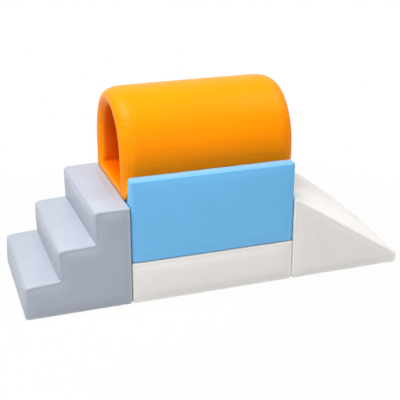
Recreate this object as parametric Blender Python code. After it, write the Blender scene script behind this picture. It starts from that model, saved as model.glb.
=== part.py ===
"""Soft play foam climber: three steps, a two-part middle block, a crawl tunnel and a ramp.

Each of the five modules is a foam core inside a sewn vinyl cover.  The cover is open underneath,
where a separate panel closes it, and has a slit at the back for its zip.  Strips of hook and
loop hold the modules together.  X runs along the set from the steps to the ramp, Y runs away
from the side with the low wall, and Z is up from the floor.  All sizes are in metres.
"""
import math

import bmesh
import bpy
from mathutils import Matrix, Vector

# Overall sizes of the modules
MODULE_DEPTH = 0.600
STEP_COUNT = 3
STEP_RISE = 0.150
STEP_TREAD = 0.155
TOP_TREAD = 0.158
BLOCK_LENGTH = 0.748
BASE_HEIGHT = 0.190
WALL_RISE = 0.116
WALL_THICKNESS = 0.073
WALL_LEAN = 0.018
RAMP_LENGTH = 0.546
RAMP_NOSE_HEIGHT = 0.047
RAMP_NOSE_SKEW = 0.010
RAMP_NEAR_SAG = 0.052
TUNNEL_SIDE_HEIGHT = 0.134
TUNNEL_ARCH_RISE = 0.288
TUNNEL_WALL = 0.096
TUNNEL_CROWN_WALL = 0.079
TUNNEL_FLOOR = 0.026
TUNNEL_LEFT_OVERHANG = 0.010
TUNNEL_RIGHT_OVERHANG = 0.033
TUNNEL_WALL_GAP = 0.005
FIRST_NOSE_SETBACK = 0.008
FIRST_RISER_SKEW = 0.010
SECOND_RISER_SKEW = 0.005
THIRD_RISER_SKEW = -0.005

# Rounding of the cushioned edges
EDGE_RADIUS = 0.017
WALL_NEAR_RADIUS = 0.008
BOTTOM_RADIUS = 0.014
NOSE_RADIUS = 0.022
RAMP_TOP_RADIUS = 0.009
TREAD_CORNER_RADIUS = 0.020
SEAT_CORNER_RADIUS = 0.008
END_ROUND = 0.013
TUNNEL_OUTER_REACH = 0.072
TUNNEL_OUTER_DEPTH = 0.053
TUNNEL_INNER_REACH = 0.040
TUNNEL_INNER_DEPTH = 0.042
TUNNEL_FOOT_RADIUS = 0.014
BORE_FOOT_RADIUS = 0.014
FLOOR_END_LOW = 0.010
FLOOR_END_HIGH = 0.090
FLOOR_END_SHARE = 0.04

# Crown of the cushioned faces, at their middles
TREAD_CROWN = 0.005
RISER_CROWN = 0.006
FRONT_CROWN = 0.004
FRONT_CROWN_MARGIN = 0.045
WALL_TOP_CROWN = 0.003
RAMP_FRONT_CROWN = 0.0015
RAMP_FRONT_CROWN_MARGIN = 0.008
RAMP_CROWN = 0.0275
RAMP_SLOPE_CROWN = 0.033
RAMP_NOSE_CROWN = 0.002
CROWN_POWER = 2.5
ARCH_FULLNESS = 2.1

# Covers, panels and the clearance between pieces that touch
COVER_THICKNESS = 0.0015
FIT = 0.0003
PANEL_STANDS_PROUD = 0.0005
HEM_WIDTH = 0.026
PANEL_CORNER_RADIUS = 0.012
CUT_OVERRUN = 0.004

# Hook and loop strips
STRIP_THICKNESS = 0.0012
STRIP_WIDTH = 0.050
STRIP_CORNER_RADIUS = 0.006
SIDE_STRIP_HEIGHT = 0.170
LOW_STRIP_LENGTH = 0.300
TOP_STRIP_LENGTH = 0.360
STRIP_SPACING_SHARE = 0.28

# Zips
ZIP_LENGTH = 0.340
ZIP_OPENING = 0.012
ZIP_TAPE_THICKNESS = 0.0012
ZIP_RIDGE_WIDTH = 0.005
ZIP_RIDGE_PROUD = 0.0012
ZIP_LIFT = 0.050
SLIDER_LENGTH = 0.012
SLIDER_WIDTH = 0.011
SLIDER_HEIGHT = 0.0040
SLIDER_END_MARGIN = 0.004
PULL_LENGTH = 0.024
PULL_WIDTH = 0.006
PULL_THICKNESS = 0.0014

# Counts that set how finely the curved surfaces are divided
ROUND_STEPS = 3
CORNER_STEPS = 3
ARCH_STEPS = 20
FOOT_STEPS = 3
PLATE_CORNER_STEPS = 2
DEPTH_SHARES = (0.12, 0.30, 0.50, 0.70, 0.88)
EDGE_SHARES = (0.22, 0.50, 0.78)

# Places that follow from the sizes above
JOIN_GAP = 2 * STRIP_THICKNESS + 3 * FIT
CORE_INSET = COVER_THICKNESS + FIT
SEAT_TOP = STEP_COUNT * STEP_RISE
STEPS_LENGTH = (STEP_COUNT - 1) * STEP_TREAD + TOP_TREAD
NEAR_Y = -MODULE_DEPTH / 2
FAR_Y = MODULE_DEPTH / 2
SET_LENGTH = STEPS_LENGTH + JOIN_GAP + BLOCK_LENGTH + JOIN_GAP + RAMP_LENGTH
STEPS_LEFT = -SET_LENGTH / 2
STEPS_RIGHT = STEPS_LEFT + STEPS_LENGTH
BLOCK_LEFT = STEPS_RIGHT + JOIN_GAP
BLOCK_RIGHT = BLOCK_LEFT + BLOCK_LENGTH
RAMP_LEFT = BLOCK_RIGHT + JOIN_GAP
RAMP_RIGHT = RAMP_LEFT + RAMP_LENGTH
SEAT_BOTTOM = BASE_HEIGHT + JOIN_GAP
TUNNEL_BOTTOM = SEAT_TOP + JOIN_GAP
TUNNEL_LEFT = BLOCK_LEFT - TUNNEL_LEFT_OVERHANG
TUNNEL_LENGTH = TUNNEL_LEFT_OVERHANG + BLOCK_LENGTH + TUNNEL_RIGHT_OVERHANG
WALL_INNER_Y = NEAR_Y + WALL_THICKNESS
TUNNEL_NEAR_Y = WALL_INNER_Y + TUNNEL_WALL_GAP

VINYL_ROUGHNESS = 0.42
COLOURS = {
    "grey_vinyl": (0.60, 0.63, 0.68),
    "white_vinyl": (0.86, 0.84, 0.81),
    "blue_vinyl": (0.24, 0.52, 0.80),
    "orange_vinyl": (0.96, 0.36, 0.01),
    "foam": (0.90, 0.89, 0.84),
    "underside_fabric": (0.10, 0.10, 0.11),
    "zip": (0.16, 0.16, 0.17),
    "hook_tape": (0.12, 0.12, 0.13),
    "loop_tape": (0.20, 0.20, 0.21),
}


def clear_scene():
    for item in list(bpy.data.objects):
        bpy.data.objects.remove(item, do_unlink=True)


def make_material(name, roughness):
    material = bpy.data.materials.new(name)
    material.use_nodes = True
    shader = material.node_tree.nodes["Principled BSDF"]
    shader.inputs["Base Color"].default_value = (*COLOURS[name], 1.0)
    shader.inputs["Roughness"].default_value = roughness
    shader.inputs["Metallic"].default_value = 0.0
    return material


def make_object(name, mesh, material):
    item = bpy.data.objects.new(name, mesh)
    bpy.context.collection.objects.link(item)
    if material is not None:
        item.data.materials.append(material)
    return item


def finish_mesh(name, work):
    """Close a bmesh into a mesh with its faces pointing outwards and round parts shaded smooth."""
    bmesh.ops.recalc_face_normals(work, faces=work.faces)
    mesh = bpy.data.meshes.new(name)
    work.to_mesh(mesh)
    work.free()
    mesh.shade_smooth()
    mesh.set_sharp_from_angle(angle=math.radians(40))
    return mesh


def crown_weight(share):
    """1 at the middle of a face and 0 at its two edges."""
    return 1 - abs(2 * share - 1) ** CROWN_POWER


def skin_rings(work, rings):
    """Join each ring to the next with triangles, cut the same way in every layer of a module."""
    for ring, following in zip(rings, rings[1:]):
        for i in range(len(ring)):
            following_i = (i + 1) % len(ring)
            work.faces.new((ring[i], ring[following_i], following[following_i]))
            work.faces.new((ring[i], following[following_i], following[i]))


def rounded_outline(corners, inset, weight):
    """Points round a closed outline, counter-clockwise.

    A corner is (u, w, radius, crown), where crown is the bulge of the edge that follows it.
    The outline is drawn in by inset, and weight scales the bulges.
    """
    places = [Vector(corner[:2]) for corner in corners]
    count = len(places)
    directions = [(places[(i + 1) % count] - places[i]).normalized() for i in range(count)]
    outwards = [Vector((d.y, -d.x)) for d in directions]
    arcs = []
    for i in range(count):
        before, after = outwards[i - 1], outwards[i]
        place = places[i] - (before + after) * (inset / (1 + before.dot(after)))
        turn = math.atan2(directions[i - 1].cross(directions[i]), directions[i - 1].dot(directions[i]))
        side = math.copysign(1, turn)
        radius = max(corners[i][2] - side * inset, FIT)
        start = place - directions[i - 1] * (radius * math.tan(abs(turn) / 2))
        centre = start - before * (radius * side)
        arc = []
        for step in range(CORNER_STEPS + 1):
            angle = turn * step / CORNER_STEPS
            spoke = start - centre
            turned = Vector((
                spoke.x * math.cos(angle) - spoke.y * math.sin(angle),
                spoke.x * math.sin(angle) + spoke.y * math.cos(angle),
            ))
            arc.append(centre + turned)
        arcs.append(arc)
    points = []
    for i in range(count):
        points.extend(arcs[i])
        crown = corners[i][3]
        if crown:
            begin, end = arcs[i][-1], arcs[(i + 1) % count][0]
            for share in EDGE_SHARES:
                bulge = crown * weight * crown_weight(share)
                points.append(begin.lerp(end, share) + outwards[i] * bulge)
    return points


def depth_stations(length, inset):
    """(distance from the near end, inset) of each ring of a module with rounded ends."""
    radius = END_ROUND - inset
    near = []
    for step in range(ROUND_STEPS + 1):
        angle = math.pi / 2 * step / ROUND_STEPS
        near.append((inset + radius * (1 - math.cos(angle)), inset + radius * (1 - math.sin(angle))))
    middle = [(share * length, inset) for share in DEPTH_SHARES]
    far = [(length - distance, drawn_in) for distance, drawn_in in reversed(near)]
    return near + middle + far


def loft(length, inset, corners_at, place, near_crown=0, crown_margin=0):
    """A closed solid through the rings of a rounded outline.

    Its near end swells by near_crown, which it reaches at crown_margin in from the rounded edge.
    """
    work = bmesh.new()
    rings = []
    stations = depth_stations(length, inset)
    if near_crown:
        stations.insert(0, (inset - near_crown, END_ROUND + crown_margin))
    for distance, drawn_in in stations:
        share = min(max(distance / length, 0), 1)
        weight = crown_weight(share)
        outline = rounded_outline(corners_at(share), drawn_in, weight)
        rings.append([work.verts.new(place(u, w, distance)) for u, w in outline])
    skin_rings(work, rings)
    work.faces.new(rings[0])
    work.faces.new(rings[-1])
    return work


def steps_solid(inset):
    skews = (FIRST_RISER_SKEW, SECOND_RISER_SKEW, THIRD_RISER_SKEW)

    def corners_at(share):
        risers = [STEPS_LEFT + step * STEP_TREAD + skews[step] * share for step in range(STEP_COUNT)]
        floor = PANEL_STANDS_PROUD
        corners = [
            (risers[0], floor, BOTTOM_RADIUS, 0),
            (STEPS_RIGHT, floor, BOTTOM_RADIUS, 0),
            (STEPS_RIGHT, SEAT_TOP, EDGE_RADIUS, TREAD_CROWN),
        ]
        for step in range(STEP_COUNT - 1, 0, -1):
            top = (step + 1) * STEP_RISE
            corners.append((risers[step], top, EDGE_RADIUS, RISER_CROWN))
            corners.append((risers[step], top - STEP_RISE, TREAD_CORNER_RADIUS, TREAD_CROWN))
        corners.append((risers[0] + FIRST_NOSE_SETBACK, STEP_RISE, EDGE_RADIUS, RISER_CROWN))
        return corners
    return loft(MODULE_DEPTH, inset, corners_at, along_y, FRONT_CROWN, FRONT_CROWN_MARGIN)


def base_solid(inset):
    def corners_at(_share):
        return [
            (BLOCK_LEFT, PANEL_STANDS_PROUD, BOTTOM_RADIUS, 0),
            (BLOCK_RIGHT, PANEL_STANDS_PROUD, BOTTOM_RADIUS, 0),
            (BLOCK_RIGHT, BASE_HEIGHT, EDGE_RADIUS, 0),
            (BLOCK_LEFT, BASE_HEIGHT, EDGE_RADIUS, 0),
        ]
    return loft(MODULE_DEPTH, inset, corners_at, along_y, FRONT_CROWN, FRONT_CROWN_MARGIN)


def ramp_solid(inset):
    def corners_at(share):
        weight = crown_weight(share)
        nose = RAMP_RIGHT + RAMP_NOSE_SKEW * share + RAMP_NOSE_CROWN * weight
        top = SEAT_TOP - RAMP_NEAR_SAG * (1 - share) + RAMP_CROWN * weight
        return [
            (RAMP_LEFT, PANEL_STANDS_PROUD, BOTTOM_RADIUS, 0),
            (nose, PANEL_STANDS_PROUD, BOTTOM_RADIUS, 0),
            (nose, RAMP_NOSE_HEIGHT, NOSE_RADIUS, RAMP_SLOPE_CROWN),
            (RAMP_LEFT, top, RAMP_TOP_RADIUS, 0),
        ]
    return loft(MODULE_DEPTH, inset, corners_at, along_y, RAMP_FRONT_CROWN, RAMP_FRONT_CROWN_MARGIN)


def seat_solid(inset):
    bottom = SEAT_BOTTOM + PANEL_STANDS_PROUD

    def corners_at(_share):
        wall_top = SEAT_TOP + WALL_RISE
        return [
            (NEAR_Y, bottom, BOTTOM_RADIUS, 0),
            (FAR_Y, bottom, BOTTOM_RADIUS, 0),
            (FAR_Y, SEAT_TOP, EDGE_RADIUS, 0),
            (WALL_INNER_Y, SEAT_TOP, SEAT_CORNER_RADIUS, 0),
            (WALL_INNER_Y - WALL_LEAN, wall_top, EDGE_RADIUS, WALL_TOP_CROWN),
            (NEAR_Y, wall_top, WALL_NEAR_RADIUS, FRONT_CROWN),
        ]
    return loft(BLOCK_LENGTH, inset, corners_at, along_block)


def along_y(u, w, distance):
    return Vector((u, NEAR_Y + distance, w))


def along_block(u, w, distance):
    return Vector((BLOCK_LEFT + distance, u, w))


def arch_outline(side_inset, crown_inset, floor_inset, foot_radius):
    """Points round the arch, from its near foot, along the floor and back over the top."""
    half_width = (FAR_Y - TUNNEL_NEAR_Y) / 2 - side_inset
    centre_y = (FAR_Y + TUNNEL_NEAR_Y) / 2
    floor = TUNNEL_BOTTOM + PANEL_STANDS_PROUD + floor_inset
    spring = TUNNEL_BOTTOM + TUNNEL_SIDE_HEIGHT
    rise = TUNNEL_ARCH_RISE - crown_inset
    points = []
    for side, start in ((-1, math.pi), (1, 1.5 * math.pi)):
        centre = Vector((centre_y + side * (half_width - foot_radius), floor + foot_radius))
        for step in range(FOOT_STEPS + 1):
            angle = start + math.pi / 2 * step / FOOT_STEPS
            points.append(centre + foot_radius * Vector((math.cos(angle), math.sin(angle))))
    for step in range(ARCH_STEPS + 1):
        angle = math.pi * step / ARCH_STEPS
        across = abs(math.cos(angle)) ** (2 / ARCH_FULLNESS)
        upwards = abs(math.sin(angle)) ** (2 / ARCH_FULLNESS)
        points.append(Vector((
            centre_y + math.copysign(half_width * across, math.pi / 2 - angle),
            spring + rise * upwards,
        )))
    return points


def end_place(distance, height, inset, reach):
    """Where a point of the tunnel's end lies along X: its rounding is shallower round the floor."""
    rise = min(max((height - TUNNEL_BOTTOM - FLOOR_END_LOW) / (FLOOR_END_HIGH - FLOOR_END_LOW), 0), 1)
    share = FLOOR_END_SHARE + (1 - FLOOR_END_SHARE) * rise * rise * (3 - 2 * rise)
    from_end = min(distance, TUNNEL_LENGTH - distance)
    if from_end > reach:
        return distance
    drawn_out = inset + (from_end - inset) * share
    return drawn_out if distance == from_end else TUNNEL_LENGTH - drawn_out


def tunnel_wall_loop(inset):
    """(distance along X, share of the wall's thickness) round the wall's own rounded section."""
    reach = TUNNEL_OUTER_REACH - inset
    outer = TUNNEL_OUTER_DEPTH - inset
    inner_reach = TUNNEL_INNER_REACH - inset
    inner = TUNNEL_INNER_DEPTH - inset
    thickness = TUNNEL_WALL - 2 * inset
    right_end = []
    for step in range(ROUND_STEPS + 1):
        angle = math.pi / 2 * step / ROUND_STEPS
        right_end.append((inset + reach * (1 - math.sin(angle)), outer * (1 - math.cos(angle)) / thickness))
    for step in range(ROUND_STEPS + 1):
        angle = math.pi / 2 * step / ROUND_STEPS
        depth = thickness - inner * (1 - math.sin(angle))
        right_end.append((inset + inner_reach * (1 - math.cos(angle)), depth / thickness))
    left_end = [(distance, share) for distance, share in reversed(right_end)]
    right_end = [(TUNNEL_LENGTH - distance, share) for distance, share in right_end]
    return right_end + left_end


def tunnel_solid(inset):
    """The arched wall and floor of the tunnel, a grid that closes on itself both ways."""
    work = bmesh.new()
    rings = []
    for distance, share in tunnel_wall_loop(inset):
        side = inset + share * (TUNNEL_WALL - 2 * inset)
        crown = inset + share * (TUNNEL_CROWN_WALL - 2 * inset)
        floor = inset + share * (TUNNEL_FLOOR - 2 * inset)
        foot = TUNNEL_FOOT_RADIUS + share * (BORE_FOOT_RADIUS - TUNNEL_FOOT_RADIUS) - inset * (1 - 2 * share)
        ring = []
        for y, z in arch_outline(side, crown, floor, foot):
            x = TUNNEL_LEFT + end_place(distance, z, inset, TUNNEL_OUTER_REACH)
            ring.append(work.verts.new((x, y, z)))
        rings.append(ring)
    skin_rings(work, rings + rings[:1])
    return work


def plate(name, low, high, thin_axis, radius):
    """A flat plate between two corners, with rounded corners in the plane across thin_axis."""
    u_axis, v_axis = [axis for axis in range(3) if axis != thin_axis]
    work = bmesh.new()
    rings = []
    for level in (low[thin_axis], high[thin_axis]):
        ring = []
        for quarter in range(4):
            right = quarter in (0, 3)
            upper = quarter in (0, 1)
            centre_u = high[u_axis] - radius if right else low[u_axis] + radius
            centre_v = high[v_axis] - radius if upper else low[v_axis] + radius
            for step in range(PLATE_CORNER_STEPS + 1):
                angle = math.pi / 2 * (quarter + step / PLATE_CORNER_STEPS)
                place = [0.0, 0.0, 0.0]
                place[thin_axis] = level
                place[u_axis] = centre_u + radius * math.cos(angle)
                place[v_axis] = centre_v + radius * math.sin(angle)
                ring.append(work.verts.new(place))
        rings.append(ring)
    bottom, top = rings
    for i in range(len(bottom)):
        following_i = (i + 1) % len(bottom)
        work.faces.new((bottom[i], bottom[following_i], top[following_i], top[i]))
    work.faces.new(bottom)
    work.faces.new(top)
    return finish_mesh(name, work)


def box(low, high):
    work = bmesh.new()
    corners = bmesh.ops.create_cube(work, size=1)["verts"]
    for corner in corners:
        for axis in range(3):
            corner.co[axis] = low[axis] if corner.co[axis] < 0 else high[axis]
    return work


def prism(outline, start, end):
    """An outline in Y and Z, drawn out along X from start to end."""
    work = bmesh.new()
    near = [work.verts.new((start, y, z)) for y, z in outline]
    far = [work.verts.new((end, y, z)) for y, z in outline]
    for i in range(len(outline)):
        following_i = (i + 1) % len(outline)
        work.faces.new((near[i], near[following_i], far[following_i], far[i]))
    work.faces.new(near)
    work.faces.new(far)
    return work


def apply_boolean(target, mesh, operation):
    """Cut a mesh out of an object, or weld one on, and keep the result."""
    tool = make_object(target.name + "_tool", mesh, None)
    modifier = target.modifiers.new("Boolean", "BOOLEAN")
    modifier.operation = operation
    modifier.solver = "EXACT"
    modifier.object = tool
    depsgraph = bpy.context.evaluated_depsgraph_get()
    result = bpy.data.meshes.new_from_object(target.evaluated_get(depsgraph))
    target.modifiers.remove(modifier)
    target.data = result
    bpy.data.objects.remove(tool, do_unlink=True)


def zip_slit(x_middle, z_middle):
    low = (
        x_middle - ZIP_LENGTH / 2,
        FAR_Y - COVER_THICKNESS - FIT / 2,
        z_middle - ZIP_OPENING / 2,
    )
    high = (x_middle + ZIP_LENGTH / 2, FAR_Y + CUT_OVERRUN, z_middle + ZIP_OPENING / 2)
    return finish_mesh("zip_slit", box(low, high))


def zip_chain(name, x_middle, z_middle, material):
    """Tape and closed teeth of a zip, lying in the slit at the back of a cover."""
    tape_back = FAR_Y - COVER_THICKNESS
    tape_front = tape_back + ZIP_TAPE_THICKNESS
    ridge_front = FAR_Y + ZIP_RIDGE_PROUD
    tape_half = ZIP_OPENING / 2 - FIT
    ridge_half = ZIP_RIDGE_WIDTH / 2
    outline = [
        (tape_back, z_middle - tape_half),
        (tape_front, z_middle - tape_half),
        (tape_front, z_middle - ridge_half),
        (ridge_front, z_middle - ridge_half),
        (ridge_front, z_middle + ridge_half),
        (tape_front, z_middle + ridge_half),
        (tape_front, z_middle + tape_half),
        (tape_back, z_middle + tape_half),
    ]
    half_length = ZIP_LENGTH / 2 - FIT
    work = prism(outline, x_middle - half_length, x_middle + half_length)
    return make_object(name, finish_mesh(name, work), material)


def zip_slider(name, x_middle, z_middle, material):
    """The slider over the teeth at the left end of its zip, with its pull hanging down."""
    left = x_middle - ZIP_LENGTH / 2 + SLIDER_END_MARGIN
    right = left + SLIDER_LENGTH
    back = FAR_Y + FIT
    channel = FAR_Y + ZIP_RIDGE_PROUD + FIT
    front = FAR_Y + SLIDER_HEIGHT
    channel_half = ZIP_RIDGE_WIDTH / 2 + FIT
    half = SLIDER_WIDTH / 2
    outline = [
        (back, z_middle - half),
        (front, z_middle - half),
        (front, z_middle + half),
        (back, z_middle + half),
        (back, z_middle + channel_half),
        (channel, z_middle + channel_half),
        (channel, z_middle - channel_half),
        (back, z_middle - channel_half),
    ]
    slider = make_object(name, finish_mesh(name, prism(outline, left, right)), material)
    middle = (left + right) / 2
    tab_top = z_middle + half / 2
    tab = plate(
        name + "_pull",
        (middle - PULL_WIDTH / 2, front - PULL_THICKNESS / 2, tab_top - PULL_LENGTH),
        (middle + PULL_WIDTH / 2, front + PULL_THICKNESS / 2, tab_top),
        1,
        PULL_WIDTH / 3,
    )
    apply_boolean(slider, tab, "UNION")
    return slider


def cover_module(name, solid, footprint, bottom, cover_material, materials):
    """The core, cover, underside panel, zip chain and zip slider of one module.

    footprint is the lowest and highest x and y of the module, and solid builds its shape.
    """
    (left, right), (near, far) = footprint
    x_middle = (left + right) / 2
    zip_z = bottom + ZIP_LIFT
    core = finish_mesh(name + "_core", solid(CORE_INSET))
    make_object(name + "_core", core, materials["foam"])
    cover = make_object(name + "_cover", finish_mesh(name + "_cover", solid(0)), cover_material)
    apply_boolean(cover, finish_mesh(name + "_hollow", solid(COVER_THICKNESS)), "DIFFERENCE")
    opening_low = (left + HEM_WIDTH, near + HEM_WIDTH, bottom - CUT_OVERRUN)
    opening_high = (right - HEM_WIDTH, far - HEM_WIDTH, bottom + PANEL_STANDS_PROUD + CORE_INSET)
    opening = plate(name + "_opening", opening_low, opening_high, 2, PANEL_CORNER_RADIUS)
    apply_boolean(cover, opening, "DIFFERENCE")
    apply_boolean(cover, zip_slit(x_middle, zip_z), "DIFFERENCE")
    cover.data.shade_smooth()
    cover.data.set_sharp_from_angle(angle=math.radians(40))
    panel_low = (opening_low[0] + FIT, opening_low[1] + FIT, bottom)
    panel_high = (opening_high[0] - FIT, opening_high[1] - FIT, bottom + PANEL_STANDS_PROUD + COVER_THICKNESS)
    panel_name = name + "_underside_panel"
    panel = plate(panel_name, panel_low, panel_high, 2, PANEL_CORNER_RADIUS - FIT)
    make_object(panel_name, panel, materials["underside_fabric"])
    zip_chain(name + "_zip_chain", x_middle, zip_z, materials["zip"])
    zip_slider(name + "_zip_slider", x_middle, zip_z, materials["zip"])


def strip_pair(first_name, second_name, start, low, high, thin_axis, materials):
    """Two strips that face each other in the gap between modules, which opens at start."""
    first_start = start + FIT
    second_start = first_start + STRIP_THICKNESS + FIT
    pair = ((first_name, first_start), (second_name, second_start))
    for name, strip_start in pair:
        strip_low = list(low)
        strip_high = list(high)
        strip_low.insert(thin_axis, strip_start)
        strip_high.insert(thin_axis, strip_start + STRIP_THICKNESS)
        mesh = plate(name, strip_low, strip_high, thin_axis, STRIP_CORNER_RADIUS)
        tape = "hook_tape" if "_hook_" in name else "loop_tape"
        make_object(name, mesh, materials[tape])


def side_strips(module, side, start, materials):
    """The strips that hold the steps or the ramp against the middle block."""
    on_left = side == "left"
    seat_middle = (SEAT_BOTTOM + SEAT_TOP) / 2
    strip_bottom = seat_middle - SIDE_STRIP_HEIGHT / 2
    for place, sign in (("near", -1), ("far", 1)):
        y_middle = sign * STRIP_SPACING_SHARE * MODULE_DEPTH
        low = (y_middle - STRIP_WIDTH / 2, strip_bottom)
        high = (y_middle + STRIP_WIDTH / 2, strip_bottom + SIDE_STRIP_HEIGHT)
        names = [module + "_hook_strip_" + place, "seat_loop_strip_" + side + "_" + place]
        if not on_left:
            names.reverse()
        strip_pair(names[0], names[1], start, low, high, 0, materials)
    low = (-LOW_STRIP_LENGTH / 2, BASE_HEIGHT / 2 - STRIP_WIDTH / 2)
    high = (LOW_STRIP_LENGTH / 2, BASE_HEIGHT / 2 + STRIP_WIDTH / 2)
    names = [module + "_hook_strip_low", "base_loop_strip_" + side]
    if not on_left:
        names.reverse()
    strip_pair(names[0], names[1], start, low, high, 0, materials)


def top_strips(lower, upper, start, y_middles, materials):
    """The strips that hold an upper module down on a lower one."""
    x_middle = (BLOCK_LEFT + BLOCK_RIGHT) / 2
    for place, y_middle in zip(("near", "far"), y_middles):
        low = (x_middle - TOP_STRIP_LENGTH / 2, y_middle - STRIP_WIDTH / 2)
        high = (x_middle + TOP_STRIP_LENGTH / 2, y_middle + STRIP_WIDTH / 2)
        lower_name = lower + "_hook_strip_top_" + place
        upper_name = upper + "_loop_strip_under_" + place
        strip_pair(lower_name, upper_name, start, low, high, 2, materials)


def centre_along_x():
    """Shift every piece so that the middle of the whole set's length is at x = 0."""
    places = [vertex.co.x for item in bpy.data.objects for vertex in item.data.vertices]
    shift = Matrix.Translation((-(min(places) + max(places)) / 2, 0, 0))
    for item in bpy.data.objects:
        item.data.transform(shift)


def build():
    clear_scene()
    materials = {name: make_material(name, VINYL_ROUGHNESS) for name in COLOURS}
    full_depth = (NEAR_Y, FAR_Y)
    block = ((BLOCK_LEFT, BLOCK_RIGHT), full_depth)
    tunnel = ((TUNNEL_LEFT + TUNNEL_OUTER_REACH, TUNNEL_LEFT + TUNNEL_LENGTH - TUNNEL_OUTER_REACH),
              (TUNNEL_NEAR_Y, FAR_Y))
    steps = ((STEPS_LEFT, STEPS_RIGHT), full_depth)
    ramp = ((RAMP_LEFT, RAMP_RIGHT), full_depth)
    cover_module("steps", steps_solid, steps, 0, materials["grey_vinyl"], materials)
    cover_module("base", base_solid, block, 0, materials["white_vinyl"], materials)
    cover_module("seat", seat_solid, block, SEAT_BOTTOM, materials["blue_vinyl"], materials)
    cover_module("tunnel", tunnel_solid, tunnel, TUNNEL_BOTTOM, materials["orange_vinyl"], materials)
    cover_module("ramp", ramp_solid, ramp, 0, materials["white_vinyl"], materials)
    side_strips("steps", "left", STEPS_RIGHT, materials)
    side_strips("ramp", "right", BLOCK_RIGHT, materials)
    block_spacing = STRIP_SPACING_SHARE * MODULE_DEPTH
    top_strips("base", "seat", BASE_HEIGHT, (-block_spacing, block_spacing), materials)
    tunnel_middle = (TUNNEL_NEAR_Y + FAR_Y) / 2
    tunnel_spacing = STRIP_SPACING_SHARE * (FAR_Y - TUNNEL_NEAR_Y)
    top_strips("seat", "tunnel", SEAT_TOP, (tunnel_middle - tunnel_spacing, tunnel_middle + tunnel_spacing),
               materials)
    centre_along_x()


build()
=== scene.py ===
"""Looks of the soft play foam climber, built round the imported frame.

Every module gets a sewn vinyl cover, a foam core, an underside panel, a zip and its slider.
X runs along the set from the steps to the ramp, Y runs away from the side with the low wall,
and Z is up from the floor.  All sizes are in metres.
"""

import math
import random

import bmesh
import bpy
import numpy as np
from mathutils import Matrix, Vector
from mathutils.bvhtree import BVHTree
from mathutils.geometry import delaunay_2d_cdt
from mathutils.kdtree import KDTree


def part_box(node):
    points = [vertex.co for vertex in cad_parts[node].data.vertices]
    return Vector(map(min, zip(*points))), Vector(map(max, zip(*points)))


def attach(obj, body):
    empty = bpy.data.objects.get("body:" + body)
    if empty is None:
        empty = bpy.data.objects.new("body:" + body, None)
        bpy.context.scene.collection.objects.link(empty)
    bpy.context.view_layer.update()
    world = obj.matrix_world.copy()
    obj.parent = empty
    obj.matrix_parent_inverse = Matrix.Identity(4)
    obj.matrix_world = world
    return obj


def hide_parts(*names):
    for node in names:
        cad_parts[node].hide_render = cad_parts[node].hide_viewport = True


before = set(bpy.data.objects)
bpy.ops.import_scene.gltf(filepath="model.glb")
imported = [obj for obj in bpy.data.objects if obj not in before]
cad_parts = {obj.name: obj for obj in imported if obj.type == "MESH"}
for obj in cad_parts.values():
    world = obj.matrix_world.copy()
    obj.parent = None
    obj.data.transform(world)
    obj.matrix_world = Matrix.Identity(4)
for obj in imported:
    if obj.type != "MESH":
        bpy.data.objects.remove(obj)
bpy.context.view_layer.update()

# The modules' sizes, as in the part's source
MODULE_DEPTH = 0.600
STEP_COUNT = 3
STEP_RISE = 0.150
STEP_TREAD = 0.155
TOP_TREAD = 0.158
BLOCK_LENGTH = 0.748
BASE_HEIGHT = 0.190
WALL_RISE = 0.116
WALL_THICKNESS = 0.073
WALL_LEAN = 0.018
RAMP_LENGTH = 0.546
RAMP_NOSE_HEIGHT = 0.047
RAMP_NOSE_CROWN = 0.002
RAMP_NOSE_SKEW = 0.010
RAMP_NEAR_SAG = 0.052
TUNNEL_SIDE_HEIGHT = 0.134
TUNNEL_ARCH_RISE = 0.288
TUNNEL_FULLNESS = 2.1
TUNNEL_WALL = 0.096
TUNNEL_CROWN_WALL = 0.079
TUNNEL_FLOOR = 0.026
TUNNEL_LEFT_OVERHANG = 0.010
TUNNEL_RIGHT_OVERHANG = 0.033
TUNNEL_WALL_GAP = 0.005
JOIN_GAP = 0.0033
PANEL_PROUD = 0.0005

SEAT_TOP = STEP_COUNT * STEP_RISE
STEPS_LENGTH = (STEP_COUNT - 1) * STEP_TREAD + TOP_TREAD
NEAR_Y = -MODULE_DEPTH / 2
FAR_Y = MODULE_DEPTH / 2
BLOCK_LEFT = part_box("base_cover")[0][0]
STEPS_RIGHT = BLOCK_LEFT - JOIN_GAP
STEPS_LEFT = STEPS_RIGHT - STEPS_LENGTH
BLOCK_RIGHT = BLOCK_LEFT + BLOCK_LENGTH
RAMP_LEFT = BLOCK_RIGHT + JOIN_GAP
RAMP_RIGHT = RAMP_LEFT + RAMP_LENGTH
SEAT_BOTTOM = BASE_HEIGHT + JOIN_GAP
WALL_INNER_Y = NEAR_Y + WALL_THICKNESS
WALL_TOP = SEAT_TOP + WALL_RISE
TUNNEL_BOTTOM = SEAT_TOP + JOIN_GAP
TUNNEL_SPRING = TUNNEL_BOTTOM + TUNNEL_SIDE_HEIGHT
TUNNEL_LEFT = BLOCK_LEFT - TUNNEL_LEFT_OVERHANG
TUNNEL_LENGTH = TUNNEL_LEFT_OVERHANG + BLOCK_LENGTH + TUNNEL_RIGHT_OVERHANG
TUNNEL_RIGHT = TUNNEL_LEFT + TUNNEL_LENGTH
TUNNEL_NEAR_Y = WALL_INNER_Y + TUNNEL_WALL_GAP
TUNNEL_MIDDLE_Y = (FAR_Y + TUNNEL_NEAR_Y) / 2
TUNNEL_HALF_WIDTH = (FAR_Y - TUNNEL_NEAR_Y) / 2

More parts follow.
